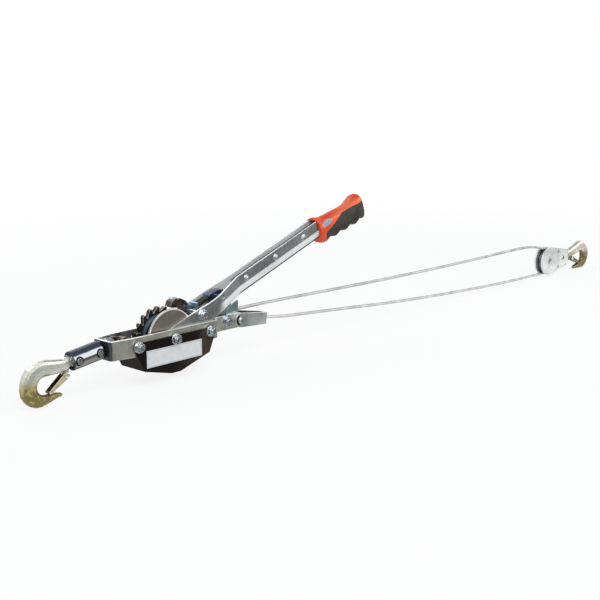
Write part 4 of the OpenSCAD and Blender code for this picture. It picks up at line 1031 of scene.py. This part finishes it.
class PULLER_OT_springs(bpy.types.Operator):
    """Winds the pawls' and the latches' springs"""

    bl_idname = "puller.springs"
    bl_label = "Springs"

    def execute(self, context):
        olive = spring_wire("spring_wire", (0.30, 0.28, 0.20))
        oiled = spring_wire("oiled_spring_wire", (0.10, 0.09, 0.07))
        bright = spring_wire("latch_spring_wire", (0.55, 0.52, 0.42))
        self.holding(olive)
        self.drive(oiled)
        self.latch("front_latch_spring", "front_hook", bright)
        self.latch("rear_latch_spring", "rear_hook", bright)
        return {"FINISHED"}

    def wound(self, name, node, body, points, wire, finish):
        """A round wire along points, in place of a CAD node."""
        mesh = tube_mesh(name, points, lambda done, angle: wire / 2, WIRE_SIDES)
        piece = new_piece(name, mesh, finish, body)
        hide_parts(node)
        return piece

    def holding(self, finish):
        """The spring round the holding pawl's pivot, with a leg at each end."""
        wire, pitch, curls = 0.0016, 0.0023, 5
        lo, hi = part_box("holding_pawl_spring")
        pivot = Vector((HOLDING_PIVOT_X, lo[1] + wire / 2, AXLE.z))
        radius = hi[0] - pivot.x - wire / 2
        low_leg = [Vector((radius, 0, z)) for z in (-2 * wire, -wire)]
        high_leg = [Vector((radius, pitch * curls, z)) for z in (0.004, 0.010)]
        points = place_points(low_leg + helix(radius, pitch, curls) + high_leg, pivot)
        self.wound("holding_spring", "holding_pawl_spring", "frame", points, wire, finish)

    def drive(self, finish):
        """The spring over the handle's centreline."""
        wire, pitch, curls, radius, over = 0.0016, 0.00245, 7, 0.0043, 0.0108
        long = pitch * curls
        points = [Vector((radius, 0, -wire)), *helix(radius, pitch, curls),
                  Vector((radius, long, wire))]
        middle = middle_of("drive_pawl_spring")
        u = (middle - AXLE).dot(Vector((math.cos(HANDLE_ANGLE), 0, math.sin(HANDLE_ANGLE))))
        start = on_handle(u - long / 2, 0, over)
        placed = place_points(points, start, -HANDLE_ANGLE, -math.pi / 2)
        piece = self.wound("drive_spring", "drive_pawl_spring", "handle", placed, wire, finish)
        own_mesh(piece)

    def latch(self, node, body, finish):
        wire, pitch, curls, radius = 0.0007, 0.00115, 1.5, 0.0029
        start = middle_of(node)
        start.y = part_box(node)[0][1] + wire / 2
        points = place_points(helix(radius, pitch, curls, 36), start)
        self.wound(node.replace("_spring", "_coil"), node, body, points, wire, finish)


class PULLER_OT_frame_finishes(bpy.types.Operator):
    """Gives the frame, guard, fasteners and label their finishes"""

    bl_idname = "puller.frame_finishes"
    bl_label = "Frame finishes"

    def execute(self, context):
        c = colours()
        # The strap gets a painted shade on its nose's front and inside its far arm
        strap = sheet_zinc("strap_zinc", c.strap_zinc, stain=((0.030, 0.034, 0.050), self.nose))
        # The bracket gets a painted shade round the anchor pin and inside it
        bracket = sheet_zinc("bracket_zinc", c.bracket_zinc, turn=-ANCHOR_DROOP,
                             stain=((0.012, 0.016, 0.016), self.pin_recess))
        paint(strap, "frame_strap")
        paint(bracket, "anchor_bracket")
        paint(sheet_zinc("guide_zinc", c.guide_zinc), "rope_guide")
        paint(bolt_zinc("bolt_zinc", c.blue_zinc), "guard_bolts", "flange_nuts", "drum_axle",
              "rear_bolt", "rear_nut", "swivel_eye", "swivel_washer", "swivel_nut",
              "drive_pawl_bolt", "drive_pawl_nut", "spacer_sleeves", "rope_ferrule")
        paint(bolt_zinc("anchor_pin_zinc", (0.40, 0.43, 0.42), 0.26), "anchor_pin")
        paint(guard_paint("guard_paint"), "guard_pan")
        paint(bare_label("bare_label"), "label_plate")
        return {"FINISHED"}

    @staticmethod
    def nose(f):
        """Share of painted shade on the front of the strap's nose and on the inside of its far arm.
        """
        x, y, _ = f.axes(AXLE)
        clouds = f.noise(90, 3)
        front = (x + (clouds - 0.5) * 0.002).ramp(-0.0985, -0.1008) * 0.9
        inner = y.band(0.0180, 0.0188, 0.0197, 0.0201) * x.ramp(-0.025, -0.045)
        return front.most(inner * clouds.ramp(0.30, 0.62) * 0.85)

    @staticmethod
    def pin_recess(f):
        """Share of painted shade round the anchor pin and inside the bracket."""
        x, y, z = f.axes(ANCHOR_PIN)
        ring = distance(x, z).band(0.0052, 0.0056, 0.0078, 0.0082)
        crescent = ring * x.ramp(-0.001, -0.003)
        inside = (0.0127 - abs(y) - (x - 0.013).most(0) * 0.17).ramp(0.0, 0.0004)
        return crescent.most(inside * 0.75)


class PULLER_OT_drum_finishes(bpy.types.Operator):
    """Gives the drum, ratchet and pawls their finishes"""

    bl_idname = "puller.drum_finishes"
    bl_label = "Drum finishes"

    def execute(self, context):
        paint(drum_face("drum_face"), "drum_flange", "drum_core")
        paint(ratchet_steel("ratchet_steel"), "ratchet_wheel")
        # The drive pawl gets a painted blue sheen from 52 mm along the handle
        paint(forged_dark("pawl_steel", 0.04, 0.052), "drive_pawl")
        paint(forged_dark("holding_pawl_steel", 0.0), "holding_pawl")
        return {"FINISHED"}


class PULLER_OT_handle_finishes(bpy.types.Operator):
    """Gives the handle and the grip their finishes"""

    bl_idname = "puller.handle_finishes"
    bl_label = "Handle finishes"

    def execute(self, context):
        c = colours()
        paint(handle_plate("handle_zinc"), "handle_channel")
        paint(bolt_zinc("seat_steel", (0.10, 0.14, 0.22)), "spring_seat")
        paint(bolt_zinc("post_steel", c.blue_zinc), "spring_post")
        paint(grip_moulding("grip_moulding"), "grip_shell")
        paint(grip_rubber("grip_rubber"), "grip_insert")
        return {"FINISHED"}


class PULLER_OT_hook_finishes(bpy.types.Operator):
    """Gives the barrel link, the hooks and their latches their finishes"""

    bl_idname = "puller.hook_finishes"
    bl_label = "Hook finishes"

    def execute(self, context):
        c = colours()
        paint(gold_plate("front_gold", 0.002, 0.042, FRONT_BOWL, c.pale_gold, c.gold_zinc,
                         (0.10, 0.065, 0.022)),
              "front_hook")
        paint(gold_plate("rear_gold", 0.004, 0.040, REAR_BOWL, c.rose, (0.36, 0.29, 0.17),
                         (0.16, 0.11, 0.05)),
              "rear_hook")
        paint(latch_plate("front_latch_gold", FRONT_LATCH, FRONT_LATCH_ANGLE, 1, 1.0),
              "front_latch")
        paint(latch_plate("rear_latch_gold", REAR_LATCH, REAR_LATCH_ANGLE, -1, 0.3), "rear_latch")
        paint(bolt_zinc("latch_rivet_zinc", (0.74, 0.76, 0.74)), "front_latch_rivet",
              "rear_latch_rivet")
        paint(polished_chrome("polished_chrome"), "barrel_link")
        paint(bolt_zinc("pin_steel", (0.55, 0.54, 0.52)), "barrel_pins")
        return {"FINISHED"}


class PULLER_OT_block_finishes(bpy.types.Operator):
    """Gives the running block its finishes"""

    bl_idname = "puller.block_finishes"
    bl_label = "Block finishes"

    def execute(self, context):
        cheek = sheet_zinc("block_zinc", colours().block_zinc, grain=(30, 30, 30), metallic=0.35,
                           bright_edge_and_top=1.1)
        paint(cheek, "near_cheek", "far_cheek")
        paint(bolt_zinc("rivet_zinc", (0.66, 0.66, 0.65)), "sheave_pin", "hook_pin",
              "block_spacers")
        paint(sheave_dark("sheave_dark"), "sheave")
        return {"FINISHED"}


class PULLER_OT_trim(bpy.types.Operator):
    """Adds the pips on the handle's near side and the grip's bare oval inlay"""

    bl_idname = "puller.trim"
    bl_label = "Trim"

    # Metres along the handle from the axle, then over its centreline
    oval = (0.0130, 0.0047)  # half sizes
    oval_place = (0.335, 0.0045)
    pip_places = (0.157, 0.2205, 0.284)
    pip_over = 0.005
    near_side = -0.0088

    def execute(self, context):
        # The pips take the handle's painted-bright zinc: a painted highlight against the dull near
        # side
        zinc = bolt_zinc("pip_zinc", colours().bright_zinc, 0.30)
        for n, along in enumerate(self.pip_places):
            place = on_handle(along, self.near_side, self.pip_over)
            self.pip("handle_pip_%d" % (n + 1), place, zinc)
        self.badge()
        return {"FINISHED"}

    def pip(self, name, place, finish):
        """A low dome pressed out of the near side."""
        radius, rise, rings, sides = sizes().pip_radius, 0.0016, 6, 28
        bm = bmesh.new()
        loops = []
        for i in range(rings):
            a = math.pi / 2 * i / rings
            loops.append([bm.verts.new(place + Vector((
                radius * math.cos(a) * math.cos(t), -rise * math.sin(a),
                radius * math.cos(a) * math.sin(t)))) for t in self.turns(sides)])
        tip = bm.verts.new(place - Vector((0, rise, 0)))
        bridge(bm, loops)
        for k in range(sides):
            bm.faces.new((loops[-1][k], loops[-1][(k + 1) % sides], tip))
        bm.faces.new(list(reversed(loops[0])))
        new_piece(name, write_mesh(name, bm), finish, "handle")

    def badge(self):
        """A crowned oval that follows the grip's near side."""
        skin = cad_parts["grip_shell"].data
        tree = BVHTree.FromPolygons([v.co.copy() for v in skin.vertices],
                                    [tuple(p.vertices) for p in skin.polygons])
        sides, outside = 48, -0.05
        rises = [0.00055, 0.00055, 0.00055, 0.00055, 0.0006, 0.0009, 0.0010, 0.0006, -0.0006]
        bm = bmesh.new()

        def vertex(share, t, rise):
            u = self.oval_place[0] + self.oval[0] * share * math.cos(t)
            w = self.oval_place[1] + self.oval[1] * share * math.sin(t)
            hit = tree.ray_cast(on_handle(u, outside, w), Vector((0, 1, 0)))[0]
            return bm.verts.new(hit - Vector((0, rise, 0)))

        middle = vertex(0, 0, rises[0])
        loops = [[vertex(i / (len(rises) - 1), t, rises[i]) for t in self.turns(sides)]
                 for i in range(1, len(rises))]
        for k in range(sides):
            bm.faces.new((middle, loops[0][(k + 1) % sides], loops[0][k]))
        bridge(bm, loops)
        bm.faces.new(loops[-1])
        enamel = enamel_oval("badge_enamel", on_handle(self.oval_place[0], 0, self.oval_place[1]))
        badge = new_piece("grip_badge", write_mesh("grip_badge", bm), enamel, "handle")

    @staticmethod
    def turns(sides):
        """The angles of a loop's vertices."""
        return [2 * math.pi * k / sides for k in range(sides)]


# ---------- panel and registration ----------

OPERATORS = (
    PULLER_OT_stage, PULLER_OT_rope, PULLER_OT_springs, PULLER_OT_frame_finishes,
    PULLER_OT_drum_finishes, PULLER_OT_handle_finishes, PULLER_OT_hook_finishes,
    PULLER_OT_block_finishes, PULLER_OT_trim)


class PULLER_PT_dresser(bpy.types.Panel):
    """Lists the steps that dress the cable puller"""

    bl_idname = "PULLER_PT_dresser"
    bl_label = "Cable Puller"
    bl_space_type = "VIEW_3D"
    bl_region_type = "UI"
    bl_category = "Cable Puller"

    def draw(self, context):
        for step in OPERATORS:
            self.layout.operator(step.bl_idname)
        for group in (context.scene.puller_sizes, context.scene.puller_colours):
            box = self.layout.box()
            for name in group.bl_rna.properties.keys():
                if name not in ("rna_type", "name"):
                    box.prop(group, name)


CLASSES = (PullerSizes, PullerColours, *OPERATORS, PULLER_PT_dresser)


def register():
    for cls in CLASSES:
        bpy.utils.register_class(cls)
    bpy.types.Scene.puller_sizes = bpy.props.PointerProperty(type=PullerSizes)
    bpy.types.Scene.puller_colours = bpy.props.PointerProperty(type=PullerColours)


def unregister():
    del bpy.types.Scene.puller_colours
    del bpy.types.Scene.puller_sizes
    for cls in reversed(CLASSES):
        bpy.utils.unregister_class(cls)


def main():
    """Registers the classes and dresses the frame."""
    register()
    for step in OPERATORS:
        area, name = step.bl_idname.split(".")
        getattr(getattr(bpy.ops, area), name)()
    bpy.context.view_layer.update()


if __name__ == "__main__":
    main()
